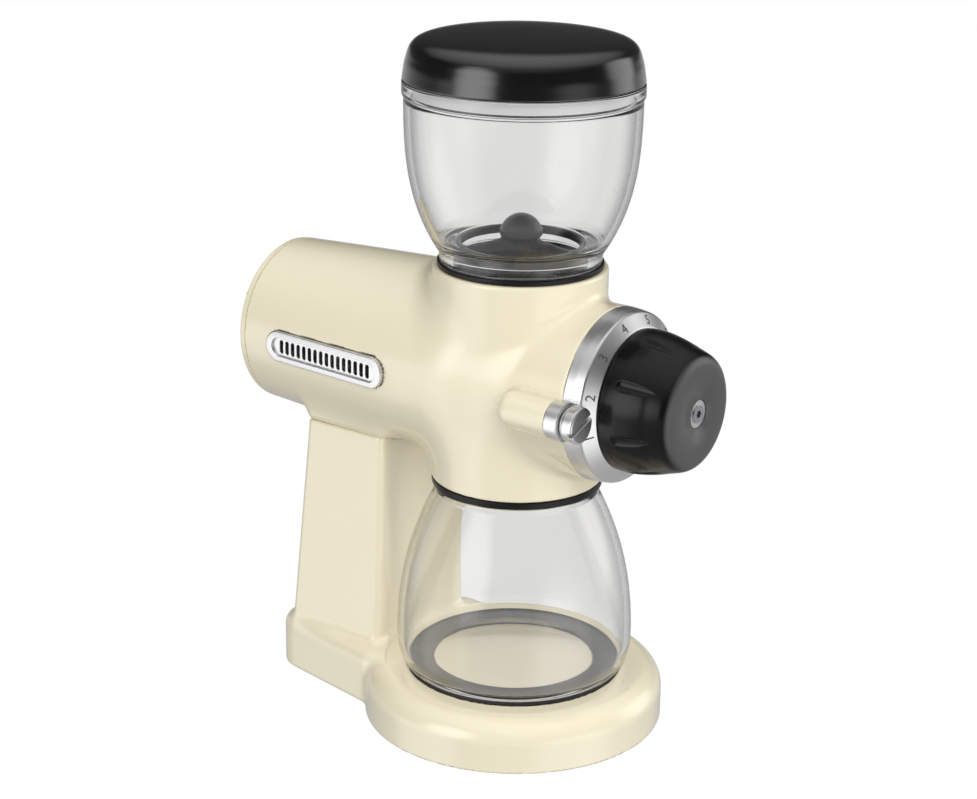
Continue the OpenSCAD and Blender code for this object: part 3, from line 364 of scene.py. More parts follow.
def pedestalField(x, y, z):
    s = pedestalSize
    r = np.hypot(x, y)
    rim = np.hypot(np.maximum(r - (s["baseR"] - s["rimBack"]), 0),
                   np.maximum(z - (s["baseTop"] - s["rimDrop"]), 0) * s["rimSquash"])
    base = softMax(rim - s["rimR"], s["footH"] - z, 0.8)
    flange = softMax(flangeField(x, y, z, 0, s["flangeTop"]), s["footH"] - z, 2.5)
    column = softMax(columnField(x, y, z, 0, s["front"]), z - s["seamZ"], 0.5)
    column = softMax(column, s["columnFoot"] - z, s["columnFade"])
    column = softMax(column, s["nestR"] - r, 3)
    out = softMin(softMin(base, flange, 2.5), column, 5)
    out = softMax(out, s["footH"] - z, 0.5)
    nest = np.maximum(np.maximum(r - s["nestR"], s["baseTop"] - z), z - s["seamZ"] + 1)
    out = softMax(out, -nest, 1.2)
    out = np.maximum(out, coneAt(y) + s["coneGap"] - np.hypot(x, z - grindZ))
    matSeat = np.maximum(np.maximum(r - s["matR"], s["matIn"] - r), s["baseTop"] - s["matDeep"] - z)
    out = softMax(out, -matSeat, 0.4)
    under = s["baseTop"] - s["baseRoof"]
    plateHigh, innerR = s["footH"] + s["plateH"], s["baseR"] - s["baseWall"]
    inner = np.maximum(np.minimum(r - innerR, flangeField(x, y, z, s["wall"], 200)), z - plateHigh)
    inner = np.minimum(inner, np.maximum(r - innerR, z - under))
    inner = np.minimum(inner, flangeField(x, y, z, s["wall"], s["flangeTop"] - s["flangeRoof"]))
    shaft = np.maximum(columnField(x, y, z, s["wall"], s["front"] + s["shaftFront"]),
                       np.maximum(s["shaftLow"] - z, z - s["roof"]))
    inner = np.minimum(inner, shaft)
    baseBoss = np.hypot(np.abs(x) - s["baseR"] + s["bossIn"], y + s["bossFront"])
    rearBoss = np.hypot(np.abs(x) - s["flangeRearX"] + s["rearBossIn"],
                        y - s["flangeRear"] + s["rearBossFront"])
    boss = np.minimum(baseBoss, rearBoss)
    inner = np.maximum(inner, -np.maximum(np.maximum(boss - s["bossR"], z - s["bossHigh"]), plateHigh - z))
    out = np.maximum(out, -inner)
    switchHole = np.maximum(np.abs(z - s["switchZ"]) - s["switchHalfZ"],
                            np.abs(y - s["switchY"]) - s["switchHalfY"])
    glandHole = np.hypot(x, z - s["glandZ"]) - s["glandR"]
    holes = neckHoles(x, y, z, 120, 150) + [
        np.maximum(boss - s["plateScrewR"], z - s["plateScrewHigh"]),
        np.maximum(glandHole, s["flangeRear"] - s["glandDeep"] - y),
        np.maximum(switchHole, s["switchFrom"] - x),
    ]
    for hole in holes:
        out = np.maximum(out, -hole)
    return out


pedestalShell = skin("pedestalShell", pedestalField, low=(-78, -78, 0), high=(78, 134, 144), cell=1.1,
                     body="housing", replaced=["pedestal"])
print("castings made")


# Glass

hopperSize = dict(low=229, foot=241.7, ledge=9.3, high=329.2, neckR=36, neckWall=4, collarR=39.9, bowlR=57.3,
                  rimR=58.2, rimDeep=8.5, lip=6.4, wall=3.2, swell=3.2, collarH=4, bowlDrop=1, bowlPart=0.9)


def inset(points, thickness):
    pts = np.array(points)
    run = np.vstack([pts[1] - pts[0], pts[2:] - pts[:-2], pts[-1] - pts[-2]])
    run = run / np.linalg.norm(run, axis=1, keepdims=True)
    return [tuple(p) for p in pts + thickness * np.stack([-run[:, 1], run[:, 0]], axis=1)]


def hopperOutline():
    s = hopperSize
    base, rim = s["foot"] + s["collarH"], s["high"] - s["bowlDrop"]
    bulge = s["bowlR"] - s["collarR"]
    bowl = [(s["collarR"] + bulge * (1 - (1 - v) ** s["swell"]), base + (rim - base) * v)
            for v in np.linspace(0, s["bowlPart"], 52)]
    inner, neckIn, rimIn = inset(bowl, s["wall"]), s["neckR"] - s["neckWall"], s["rimR"] - s["wall"] - 0.2
    lipLow = s["high"] - s["lip"]
    lip = rounded([bowl[-1] + (0,), (s["bowlR"], lipLow - 0.9, 0.8), (s["rimR"], lipLow, 0.7),
                   (s["rimR"], s["high"], 1.2), (rimIn, s["high"], 1), (rimIn, s["high"] - s["rimDeep"], 1),
                   inner[-1] + (0,)], 6)
    neck = rounded([inner[4] + (0,), (neckIn, s["foot"] + s["ledge"], 0.8), (neckIn, s["low"], 1),
                    (s["neckR"], s["low"], 1), (s["neckR"], s["foot"], 0.3), (s["collarR"], s["foot"], 0.8),
                    bowl[0] + (0,)], 5)
    return bowl + lip[1:-1] + inner[:3:-1] + neck[1:-1]


hopperGlass = lathe("hopperGlass", hopperOutline(), "hopper", ["hopper_glass"], segments=256, sharp=60)

jarSize = dict(low=29.3, high=126.2, r=59.9, neckR=41, neckH=3.6, wall=3.2, floor=4, belly=14.7, foot=6.5,
               taper=2.2, dish=41, dishDeep=1.2, corner=2.6, cornerIn=1.6)


def jarOutline():
    s = jarSize
    belly, neck = s["low"] + s["belly"], s["high"] - s["neckH"]
    heel = [(s["r"] - s["foot"] + s["foot"] * math.cos(a), belly + s["belly"] * math.sin(a))
            for a in np.linspace(-math.pi / 2, 0, 16)]
    wall = heel[:-1] + [(s["r"] - (s["r"] - s["neckR"]) * w ** s["taper"], belly + (neck - belly) * w)
                        for w in np.linspace(0, 1, 48)]
    inner, mouth, floor = inset(wall, s["wall"]), s["neckR"] - s["wall"], s["low"] + s["floor"]
    lip = rounded([wall[-1] + (1.5,), (s["neckR"], s["high"], 1), (mouth, s["high"], 1),
                   (mouth, neck - 0.6, 1.5), inner[-3] + (0,), wall[-2] + (0,)], 5)
    dish = [(s["dish"] * w, s["low"] + s["dishDeep"] * (1 - w ** 2)) for w in np.linspace(0, 1, 14)]
    corner = rounded([inner[10] + (0,), (s["r"] - s["wall"] - s["cornerIn"], floor, s["corner"]),
                      (0, floor, 0)], 8)
    return dish + wall[:-1] + lip[:-2] + inner[-4:10:-1] + corner


jarGlass = lathe("jarGlass", jarOutline(), "jar", ["jar_glass"], closed=False, segments=256, sharp=60)


# Lid, seals and mat

lidSize = dict(low=329.4, tall=22, r=58, plugR=53.2)


def lidOutline():
    s = lidSize
    low, tall, r, plug = s["low"], s["tall"], s["r"], s["plugR"]
    top = low + tall
    side = curve([(r, low + 0.8), (r - 0.5, low + 4), (r - 1.15, low + 8), (r - 1.9, top - 11.2),
                  (r - 2.8, top - 8.3), (r - 4.1, top - 5.8), (r - 6.5, top - 3.7), (r - 10.4, top - 2.3),
                  (r - 17, top - 1.35), (r - 28, top - 0.65), (r - 42, top - 0.15), (0, top)], 8)
    inside = [(0, tall - 11.6), (plug - 4.2, tall - 11.6), (plug - 3.4, tall - 12), (plug - 3.2, tall - 12.8),
              (plug - 3.2, -7), (plug - 2.5, -7.6), (plug - 0.5, -7.6), (plug, -7), (plug, -6.5),
              (plug - 1.8, -6.5), (plug - 1.8, -0.8), (plug, -0.8), (plug, 0), (r - 0.9, 0), (r - 0.3, 0.2)]
    return [(a, low + b) for a, b in inside] + side


hopperLid = lathe("hopperLid", lidOutline(), "lid", ["hopper_lid"], closed=False, segments=224, sharp=50)

ringSize = dict(hopper=[(36.5, 226, 0.3), (38.9, 226, 0.3), (38.9, 238.8, 0), (40.8, 238.8, 0.3),
                        (40.8, 241.5, 0.7), (36.5, 241.5, 0.3)],
                seal=[(36.6, 126.7, 0.4), (42.8, 126.7, 0.8), (42.8, 130.15, 0.3), (36.6, 130.15, 0.3)],
                mat=[(41.6, 27.25, 0.2), (54.8, 27.25, 0.2), (54.8, 29.2, 0.6), (41.6, 29.2, 0.6)])

hopperRing = lathe("hopperRing", rounded(ringSize["hopper"], 4), "housing", ["hopper_gasket"])
sealRing = lathe("sealRing", rounded(ringSize["seal"], 4), "housing", ["discharge_seal"])
matRing = lathe("matRing", rounded(ringSize["mat"], 4), "housing", ["jar_mat"])
print("glass, lid and rings made")


# Grip knob: a turned form with finger hollows

knobSize = dict(base=70.3, front=104.3, r=34.9, hollows=8, firstHollow=-61, hollowR=4.7, hollowEnd=2.6,
                hollowAt=38.1, hollowStart=10.2, hollowRun=24, gripFromR=25.6, tilt=16, boreR=4.6,
                boreDeep=14, washerR=6.9, washerDeep=2, screwR=2.6)


def knobOutline():
    s = knobSize
    b, f, r = s["base"], s["front"], s["r"]
    side = curve([(r * w, b + (f - b) * t) for t, w in (
        (0.02, 0.999), (0.12, 1), (0.24, 0.994), (0.35, 0.977), (0.47, 0.953), (0.59, 0.922), (0.68, 0.892),
        (0.77, 0.866), (0.83, 0.848), (0.88, 0.831), (0.925, 0.808), (0.962, 0.775), (0.986, 0.731),
        (0.997, 0.68), (1, 0.63))], 9)
    bore, screw, washer = s["boreR"], s["screwR"], s["washerR"]
    boreEnd, seat = b + s["boreDeep"], f - s["washerDeep"]
    return [(bore, boreEnd), (bore, b), (r - 0.7, b), (r - 0.2, b + 0.25)] + side + [
        (washer + 0.3, f), (washer, f - 0.3), (washer, seat), (screw, seat), (screw, boreEnd)]


def knobShape(r, h, angle):
    s = knobSize
    step = 2 * math.pi / s["hollows"]
    local = (angle - math.radians(s["firstHollow"]) + step / 2) % step - step / 2
    tilt = math.radians(s["tilt"])
    outer = (r > s["gripFromR"]) & (h > s["base"] + 0.5)
    narrowing = (s["hollowR"] - s["hollowEnd"]) / s["hollowRun"]
    for _ in range(3):
        x, y, z = r * np.cos(local) - s["hollowAt"], r * np.sin(local), h - s["base"] - s["hollowStart"]
        along = z * math.cos(tilt) - x * math.sin(tilt)
        offX = x * math.cos(tilt) + z * math.sin(tilt)
        radius = s["hollowR"] - np.maximum(along, 0) * narrowing
        near = np.sqrt(offX ** 2 + y ** 2 + np.minimum(along, 0) ** 2) - radius
        r = np.where(outer, r - 0.9 * np.maximum(-near, 0), r)
    return r, h


knobGrip = lathe("knobGrip", knobOutline(), "grip", ["knob"], axis="front", segments=720, sharp=50,
                 shape=knobShape)


# Front cover with the dial band and lugs

coverSize = dict(back=55.25, band=65.3, face=70.0, r=42.9, bandMidR=42.6, bandEndR=41.9, coneR=41.6,
                 faceR=35.1, lugX=48.5, lugR=9.5, lugFront=62.9, webH=6.5, webFrom=34, hubR=20, hubBack=50,
                 hubFront=60, guideR=14.1, guideX=12.35, guideEnd=66, boreR=8.1, scallopR=9.1, pocketR=36,
                 pocketIn=22, pocketDeep=7, screwR=3.1)


def coverField(x, y, z):
    s = coverSize
    d = -y
    radial = np.hypot(x, z - grindZ)
    bandR = np.interp(d, [s["back"], s["back"] + 5, s["band"]], [s["r"], s["bandMidR"], s["bandEndR"]])
    rise = (s["face"] - s["band"]) / (s["coneR"] - s["faceR"])
    conical = (d - s["band"] - (s["coneR"] - radial) * rise) / math.hypot(1, rise)
    out = softMax(radial - bandR, conical, 0.6)
    out = softMax(out, d - s["face"], 0.3)
    out = softMax(out, s["back"] - d, 0.4)
    lugAxis = np.hypot(np.abs(x) - s["lugX"], z - grindZ)
    web = np.maximum(np.abs(x) - s["lugX"], s["webFrom"] - np.abs(x))
    web = np.maximum(np.abs(z - grindZ) - s["webH"], web)
    lug = softMin(lugAxis - s["lugR"], web, 1.5)
    lug = softMax(lug, np.maximum(s["back"] - d, d - s["lugFront"]), 0.6)
    out = softMin(out, lug, 1.2)
    hub = np.maximum(radial - s["hubR"], np.maximum(s["hubBack"] - d, d - s["hubFront"]))
    out = np.minimum(out, hub)
    guide = np.maximum(np.maximum(radial - s["guideR"], np.abs(x) - s["guideX"]), d - s["guideEnd"])
    out = np.maximum(out, -guide)
    out = np.maximum(out, s["boreR"] - radial)
    scallop = np.maximum(lugAxis - s["scallopR"], s["lugFront"] - d)
    out = softMax(out, -scallop, 0.4)
    pocket = np.maximum(radial - s["pocketR"], s["pocketIn"] - radial)
    out = np.maximum(out, -np.maximum(pocket, d - s["back"] - s["pocketDeep"]))
    return np.maximum(out, s["screwR"] - lugAxis)


frontCover = skin("frontCover", coverField, low=(-59, -71, grindZ - 44), high=(59, -49, grindZ + 44),
                  cell=0.7, body="front", replaced=["front_cover"])


# Thumb screws

screwSize = dict(x=48.5, shankEnd=41.2, shankR=3, neckAt=63.2, neckR=7.4, headAt=64.6, front=71.0, r=8.8,
                 slot=2.2, slotDepth=2.2, slotTurn=20)


def thumbField(side):
    s = screwSize
    turn = math.radians(s["slotTurn"])

    def field(x, y, z):
        d = -y
        dx, dz = x - side * s["x"], z - grindZ
        radial = np.hypot(dx, dz)
        head = softMax(radial - s["r"], np.maximum(s["headAt"] - d, d - s["front"]), 1.2)
        neck = softMax(radial - s["neckR"], np.maximum(s["neckAt"] - d, d - s["headAt"] - 1), 0.3)
        shank = softMax(radial - s["shankR"], np.maximum(s["shankEnd"] - d, d - s["headAt"]), 0.4)
        out = np.minimum(np.minimum(head, neck), shank)
        across = np.abs(-dx * math.sin(turn) + dz * math.cos(turn)) - s["slot"] / 2
        return softMax(out, -np.maximum(across, s["front"] - s["slotDepth"] - d), 0.3)

    return field


thumbs = {}
for side, word in ((-1, "left"), (1, "right")):
    x = side * screwSize["x"]
    thumbs[word] = skin("thumb_" + word, thumbField(side), low=(x - 9, -71.5, grindZ - 9),
                        high=(x + 9, -41, grindZ + 9), cell=0.4, body=word + "_screw",
                        replaced=["thumb_screw_" + word])


# Vents that follow the housing

ventSize = dict(proud=0.9, inset=0.4, deep=3, slots=16, pitch=3.95, slotW=2.3, slotH=7, frameEnds=8,
                frameSides=6, keptFrom=20)


def ventField(side):
    s, b = ventSize, bodySize

    def field(x, y, z):
        radial = np.hypot(x, z - grindZ)
        lift = (radial - coneAt(y)) * b["coneLean"]
        plate = softMax(ventPill(y, z, b["ventLen"], b["ventH"]),
                        np.maximum(lift - s["proud"], -s["deep"] - lift), 0.5)
        grille = ventPill(y, z, b["ventLen"] - s["frameEnds"], b["ventH"] - s["frameSides"])
        recess = np.maximum(grille, -s["inset"] - lift)
        out = softMax(plate, -recess, 0.35)
        offset = (y - b["ventY"]) / s["pitch"] + s["slots"] / 2
        local = (offset - np.clip(np.floor(offset), 0, s["slots"] - 1) - 0.5) * s["pitch"]
        slotEnd = np.abs(z - grindZ) - s["slotH"] / 2 + s["slotW"] / 2
        slot = np.hypot(local, np.maximum(slotEnd, 0)) - s["slotW"] / 2
        out = softMax(out, -slot, 0.25)
        return np.maximum(out, s["keptFrom"] - side * x)

    return field


vents = {}
for side, word in ((-1, "left"), (1, "right")):
    low, high = sorted((side * 40, side * 52))
    vents[word] = skin("vent_" + word + "_plate", ventField(side), low=(low, 46, grindZ - 9),
                       high=(high, 128, grindZ + 9), cell=0.36, body="housing", replaced=["vent_" + word])


# Bean guard

guardSize = dict(low=246.8, ringR=31.7, ringIn=29.4, ringHigh=251, domeR=10.5, domeAt=253.9, stemR=4.5,
                 flareAt=250, flare=0.8, stemHigh=256, arm=1.2, armEnd=30.5, armAngles=(30, 150, 270),
                 armRun=[0, 8, 16, 24, 31], armTop=[254, 253.4, 252.1, 251, 250.8])


def guardField(x, y, z):
    s = guardSize
    r = np.hypot(x, y)
    ring = softMax(np.maximum(r - s["ringR"], s["ringIn"] - r),
                   np.maximum(s["low"] - z, z - s["ringHigh"]), 0.5)
    dome = softMax(np.sqrt(r ** 2 + (z - s["domeAt"]) ** 2) - s["domeR"], s["domeAt"] - 0.3 - z, 1.2)
    stem = np.maximum(r - s["stemR"] - np.maximum(z - s["flareAt"], 0) * s["flare"],
                      np.maximum(s["low"] - z, z - s["stemHigh"]))
    out = softMin(softMin(ring, stem, 1.5), dome, 2)
    for angle in s["armAngles"]:
        a = math.radians(angle)
        along = x * math.cos(a) + y * math.sin(a)
        across = np.abs(-x * math.sin(a) + y * math.cos(a)) - s["arm"]
        top = np.interp(along, s["armRun"], s["armTop"])
        length = np.maximum(1 - along, along - s["armEnd"])
        arm = softMax(across, np.maximum(np.maximum(s["low"] - z, z - top), length), 0.8)
        out = softMin(out, arm, 1.5)
    return out


beanGuard = skin("beanGuard", guardField, low=(-32, -32, 246), high=(32, 32, 265), cell=0.55,
                 body="hopper", replaced=["bean_guard"])
print("small forms made")


# Plain figures on the dial

figureSize = dict(height=7, r=38.2, firstAngle=-105, step=30, count=8, lift=0.05, thick=0.04)


def dialFigures():
    s, c = figureSize, coverSize
    font = bpy.data.curves.new("dialFont", "FONT")
    pieces = []
    rise, run = c["face"] - c["band"], c["coneR"] - c["faceR"]
    lean = math.atan2(rise, run)
    for i in range(s["count"]):
        text = font.copy()
        text.body = str(i + 1)
        text.size = s["height"] * mm
        text.align_x = "CENTER"
        text.align_y = "CENTER"
        text.extrude = s["thick"] * mm
        figure = bpy.data.objects.new("dialFigure" + str(i + 1), text)
        bpy.context.collection.objects.link(figure)
        angle = math.radians(s["firstAngle"] + s["step"] * i)
        depth = c["band"] + (c["coneR"] - s["r"]) * rise / run + s["lift"]
        out = Vector((math.sin(angle), 0, math.cos(angle)))
        normal = (out * math.sin(lean) + Vector((0, -1, 0)) * math.cos(lean)).normalized()
        upward = (out - normal * out.dot(normal)).normalized()
        right = upward.cross(normal)
        turn = Matrix((right, upward, normal)).transposed().to_4x4()
        spot = Vector((s["r"] * math.sin(angle), axisY - depth, grindZ + s["r"] * math.cos(angle))) * mm
        figure.matrix_world = Matrix.Translation(spot) @ turn
        bpy.context.view_layer.update()
        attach(figure, "front")
        pieces.append(figure)
    bpy.data.curves.remove(font)
    return pieces


figures = dialFigures()


# Materials

def linear(*levels):
    # Screen levels from 11 to 255 as a linear colour.
    return tuple(((v / 255 + 0.055) / 1.055) ** 2.4 for v in levels) + (1.0,)


def newNodes(n, *kinds):
    return [n.new("ShaderNode" + kind) for kind in kinds]


def setInputs(node, **values):
    for key, value in values.items():
        node.inputs[key.replace("_", " ")].default_value = value


def newGroup(name, inputs, outputs):
    group = bpy.data.node_groups.new(name, "ShaderNodeTree")
    for key, kind, value in inputs:
        group.interface.new_socket(key, in_out="INPUT", socket_type="NodeSocket" + kind).default_value = value
    for key, kind in outputs:
        group.interface.new_socket(key, in_out="OUTPUT", socket_type="NodeSocket" + kind)
    return group, group.nodes.new("NodeGroupInput"), group.nodes.new("NodeGroupOutput")


def mottleGroup():
    group, source, sink = newGroup("mottle", (
        ("Colour", "Color", (0.8, 0.8, 0.8, 1)), ("Amount", "Float", 0.05), ("Scale", "Float", 40.0),
        ("Roughness", "Float", 0.3), ("Spread", "Float", 0.05)),
        (("Colour", "Color"), ("Roughness", "Float")))
    n, link = group.nodes, group.links.new
    place, noise, centred, change, value, tint, rough = newNodes(
        n, "TexCoord", "TexNoise", "Math", "Math", "Math", "HueSaturation", "Math")
    setInputs(noise, Detail=4)
    link(place.outputs["Object"], noise.inputs["Vector"])
    link(source.outputs["Scale"], noise.inputs["Scale"])
    centred.operation = "SUBTRACT"
    centred.inputs[1].default_value = 0.5
    link(noise.outputs["Fac"], centred.inputs[0])
    change.operation, value.operation = "MULTIPLY", "ADD"
    link(centred.outputs[0], change.inputs[0])
    link(source.outputs["Amount"], change.inputs[1])
    link(change.outputs[0], value.inputs[0])
    value.inputs[1].default_value = 1
    link(value.outputs[0], tint.inputs["Value"])
    link(source.outputs["Colour"], tint.inputs["Color"])
    link(tint.outputs["Color"], sink.inputs["Colour"])
    rough.operation = "MULTIPLY_ADD"
    link(centred.outputs[0], rough.inputs[0])
    link(source.outputs["Spread"], rough.inputs[1])
    link(source.outputs["Roughness"], rough.inputs[2])
    link(rough.outputs[0], sink.inputs["Roughness"])
    return group


def grainGroup():
    group, source, sink = newGroup("grain", (
        ("Scale", "Float", 800.0), ("Stretch", "Vector", (1, 1, 1)), ("Height", "Float", 0.00002),
        ("Strength", "Float", 0.3)), (("Normal", "Vector"),))
    n, link = group.nodes, group.links.new
    place, stretch, noise, bump = newNodes(n, "TexCoord", "VectorMath", "TexNoise", "Bump")
    setInputs(noise, Detail=3)
    stretch.operation = "MULTIPLY"
    link(place.outputs["Object"], stretch.inputs[0])
    link(source.outputs["Stretch"], stretch.inputs[1])
    link(stretch.outputs["Vector"], noise.inputs["Vector"])
    link(source.outputs["Scale"], noise.inputs["Scale"])
    link(noise.outputs["Fac"], bump.inputs["Height"])
    link(source.outputs["Height"], bump.inputs["Distance"])
    link(source.outputs["Strength"], bump.inputs["Strength"])
    link(bump.outputs["Normal"], sink.inputs["Normal"])
    return group


mottle, grain = mottleGroup(), grainGroup()


def finish(name, colour, rough, metal=0.0, spread=0.04, amount=0.04, grainScale=900.0,
           grainHeight=0.00001, grainStrength=0.2, stretch=(1, 1, 1), **sockets):
    material = bpy.data.materials.new(name)
    material.use_nodes = True
    n, link = material.node_tree.nodes, material.node_tree.links.new
    shader = n["Principled BSDF"]
    setInputs(shader, Metallic=metal, **sockets)
    spots, fine = newNodes(n, "Group", "Group")
    spots.node_tree, fine.node_tree = mottle, grain
    setInputs(spots, Colour=colour, Amount=amount, Roughness=rough, Spread=spread)
    setInputs(fine, Scale=grainScale, Stretch=stretch, Height=grainHeight, Strength=grainStrength)
    link(spots.outputs["Colour"], shader.inputs["Base Color"])
    link(spots.outputs["Roughness"], shader.inputs["Roughness"])
    link(fine.outputs["Normal"], shader.inputs["Normal"])
    return material


enamel = finish("enamel", linear(235, 226, 198), 0.3, amount=0.02, grainScale=500, grainHeight=0.000006,
                grainStrength=0.1, Coat_Weight=1.0, Coat_Roughness=0.07, Coat_IOR=1.5)
glossBlack = finish("glossBlack", (0.003, 0.003, 0.0032, 1), 0.24, spread=0.05, grainStrength=0.05,
                    Coat_Weight=1.0, Coat_Roughness=0.1, Specular_IOR_Level=0.5)
gripBlack = finish("gripBlack", (0.003, 0.003, 0.0032, 1), 0.24, spread=0.05, grainStrength=0.06,
                   Specular_IOR_Level=0.3)


def addPaintedFaceSheen(material, colour, start, end):
    # The colour changes over to a lighter grey between two places along y: painted sheen standing in for the
    # light the front face reflects.
    n, link = material.node_tree.nodes, material.node_tree.links.new
    place, split, fade, mix = newNodes(n, "TexCoord", "SeparateXYZ", "MapRange", "Mix")
    fade.interpolation_type, mix.data_type = "SMOOTHSTEP", "RGBA"
    setInputs(fade, From_Min=start * mm, From_Max=end * mm)
    link(place.outputs["Object"], split.inputs["Vector"])
    link(split.outputs["Y"], fade.inputs["Value"])
    link(fade.outputs["Result"], mix.inputs["Factor"])
    link(n["Group"].outputs["Colour"], mix.inputs["A"])
    mix.inputs["B"].default_value = colour
    link(mix.outputs["Result"], n["Principled BSDF"].inputs["Base Color"])


knobFace = axisY - knobSize["front"]
# The knob's front face is painted lighter grey, a painted reflection on the black plastic.
addPaintedFaceSheen(gripBlack, (0.075, 0.074, 0.077, 1), knobFace + 2.6, knobFace + 0.2)
satinBlack = finish("satinBlack", (0.005, 0.005, 0.005, 1), 0.34, amount=0.1, Specular_IOR_Level=0.3)
silicone = finish("silicone", linear(206, 206, 208), 0.3)
darkGrey = finish("darkGrey", (0.03, 0.03, 0.032, 1), 0.3, amount=0.1)
rubber = finish("rubber", (0.012, 0.012, 0.0125, 1), 0.62, amount=0.2, grainStrength=0.4,
                Specular_IOR_Level=0.3)
matRubber = finish("matRubber", (0.022, 0.021, 0.02, 1), 0.55, amount=0.15, grainStrength=0.4)
satinMetal = finish("satinMetal", (0.8, 0.8, 0.81, 1), 0.34, metal=1.0, grainScale=300, stretch=(1, 8, 1),
                    grainHeight=0.00001, grainStrength=0.1)
steel = finish("steel", (0.52, 0.53, 0.55, 1), 0.26, metal=1.0, grainScale=500, grainStrength=0.1)
bronze = finish("bronze", (0.6, 0.38, 0.16, 1), 0.35, metal=1.0)
iron = finish("iron", (0.08, 0.075, 0.07, 1), 0.6, metal=0.6, amount=0.3)
nylon = finish("nylon", linear(222, 214, 190), 0.45, amount=0.05)
boardGreen = finish("boardGreen", (0.03, 0.14, 0.06, 1), 0.4, amount=0.2)
ink = finish("ink", (0.06, 0.06, 0.062, 1), 0.6, Specular_IOR_Level=0.15)


def clearGlass(name, colour, edge):
    # The glass is painted towards its edge colour where the wall is seen edge on: painted shade standing in
    # for the dark reflections along its edges.
    material = finish(name, colour, 0.0, spread=0.01, amount=0.01, grainStrength=0.0, Transmission_Weight=1.0,
                      IOR=1.47)
    n, link = material.node_tree.nodes, material.node_tree.links.new
    facing, edgeShade, tint, path, either, clear, mix = newNodes(
        n, "LayerWeight", "MapRange", "Mix", "LightPath", "Math", "BsdfTransparent", "MixShader")
    setInputs(edgeShade, From_Min=0.5, From_Max=0.88)
    tint.data_type = "RGBA"
    setInputs(facing, Blend=0.5)
    link(facing.outputs["Facing"], edgeShade.inputs["Value"])
    link(edgeShade.outputs["Result"], tint.inputs["Factor"])
    link(n["Group"].outputs["Colour"], tint.inputs["A"])
    tint.inputs["B"].default_value = edge
    link(tint.outputs["Result"], n["Principled BSDF"].inputs["Base Color"])
    either.operation = "MAXIMUM"    # light falls through the glass onto what it covers
    link(path.outputs["Is Shadow Ray"], either.inputs[0])
    link(path.outputs["Is Diffuse Ray"], either.inputs[1])
    link(either.outputs[0], mix.inputs["Fac"])
    link(n["Principled BSDF"].outputs["BSDF"], mix.inputs[1])
    link(clear.outputs["BSDF"], mix.inputs[2])
    link(mix.outputs["Shader"], n["Material Output"].inputs["Surface"])
    return material


# The edge colours are painted shade, darker on the hopper than on the jar.
hopperClear = clearGlass("hopperClear", (0.965, 0.965, 0.96, 1), (0.1, 0.1, 0.105, 1))
jarClear = clearGlass("jarClear", (0.97, 0.97, 0.965, 1), (0.36, 0.36, 0.36, 1))

nodeFinish = {
    "rear_cover": enamel, "switch_rocker": glossBlack, "switch_bezel": satinBlack, "base_plate": satinBlack,
    "cord_gland": satinBlack, "motor_end_cap": satinBlack, "cooling_fan": satinBlack, "rubber_feet": rubber,
    "lid_seal": silicone, "auger_seal": rubber, "knob_washer": satinMetal, "gear_plate": satinMetal,
    "drive_plate": satinMetal, "burr_carrier": satinMetal, "field_magnets": iron, "armature": iron,
    "auger_bush": bronze, "layshaft_bushes": bronze, "motor_bushes": bronze, "commutator": bronze,
    "brush_holders": bronze, "output_gear": nylon, "layshaft_gear": nylon, "control_board": boardGreen,
}


def paint(piece, material):
    piece.data.materials.clear()
    piece.data.materials.append(material)


for name, node in nodes.items():
    paint(node, nodeFinish.get(name, steel))
for piece in (bodyShell, pedestalShell):
    paint(piece, enamel)
paint(hopperLid, glossBlack)
paint(knobGrip, gripBlack)
paint(hopperGlass, hopperClear)
paint(jarGlass, jarClear)
for piece in (hopperRing, sealRing):
    paint(piece, satinBlack)
paint(beanGuard, darkGrey)
paint(matRing, matRubber)
for piece in [frontCover] + list(thumbs.values()) + list(vents.values()):
    paint(piece, satinMetal)
for piece in figures:
    paint(piece, ink)
print("materials set")


# Camera

cameraSize = dict(place=(-871.4, -623.0, 535.1), aim=(0, 0, 168.5), roll=1.05, lens=84.06, sensor=36,
                  shift=(-0.0304, 0.001), clip=(0.05, 20))


def addCamera():
    s = cameraSize
    place = Vector(toMetres([s["place"]])[0])
    aim = Vector(toMetres([s["aim"]])[0])
    ahead = (aim - place).normalized()
    right = ahead.cross(Vector((0, 0, 1))).normalized()
    upward = right.cross(ahead)
    roll = math.radians(s["roll"])
    right, upward = (right * math.cos(roll) + upward * math.sin(roll),
                     upward * math.cos(roll) - right * math.sin(roll))
    data = bpy.data.cameras.new("camera")
    data.lens = s["lens"]
    data.sensor_width = s["sensor"]
    data.shift_x, data.shift_y = s["shift"]
    data.clip_start, data.clip_end = s["clip"]
    camera = bpy.data.objects.new("camera", data)
    bpy.context.collection.objects.link(camera)
    camera.matrix_world = Matrix.Translation(place) @ Matrix((right, upward, -ahead)).transposed().to_4x4()
    bpy.context.scene.camera = camera


addCamera()


# Studio

def addArea(name, place, aim, size, power):
    data = bpy.data.lights.new(name, "AREA")
    data.shape = "RECTANGLE"
    data.size, data.size_y = size
    data.energy = power
    light = bpy.data.objects.new(name, data)
    bpy.context.collection.objects.link(light)
    light.visible_glossy = light.visible_transmission = False
    light.location = place
    light.rotation_euler = (Vector(aim) - Vector(place)).to_track_quat("-Z", "Y").to_euler()


addArea("keyLight", place=(-1.25, -1.15, 1.0), aim=(0, 0, 0.18), size=(0.9, 1.5), power=18.5)
addArea("topLight", place=(-0.1, 0.1, 1.6), aim=(0, 0, 0.2), size=(1.4, 1.4), power=2)
addArea("rightLight", place=(1.3, -1.2, 0.8), aim=(0, 0, 0.2), size=(0.5, 1.4), power=9)

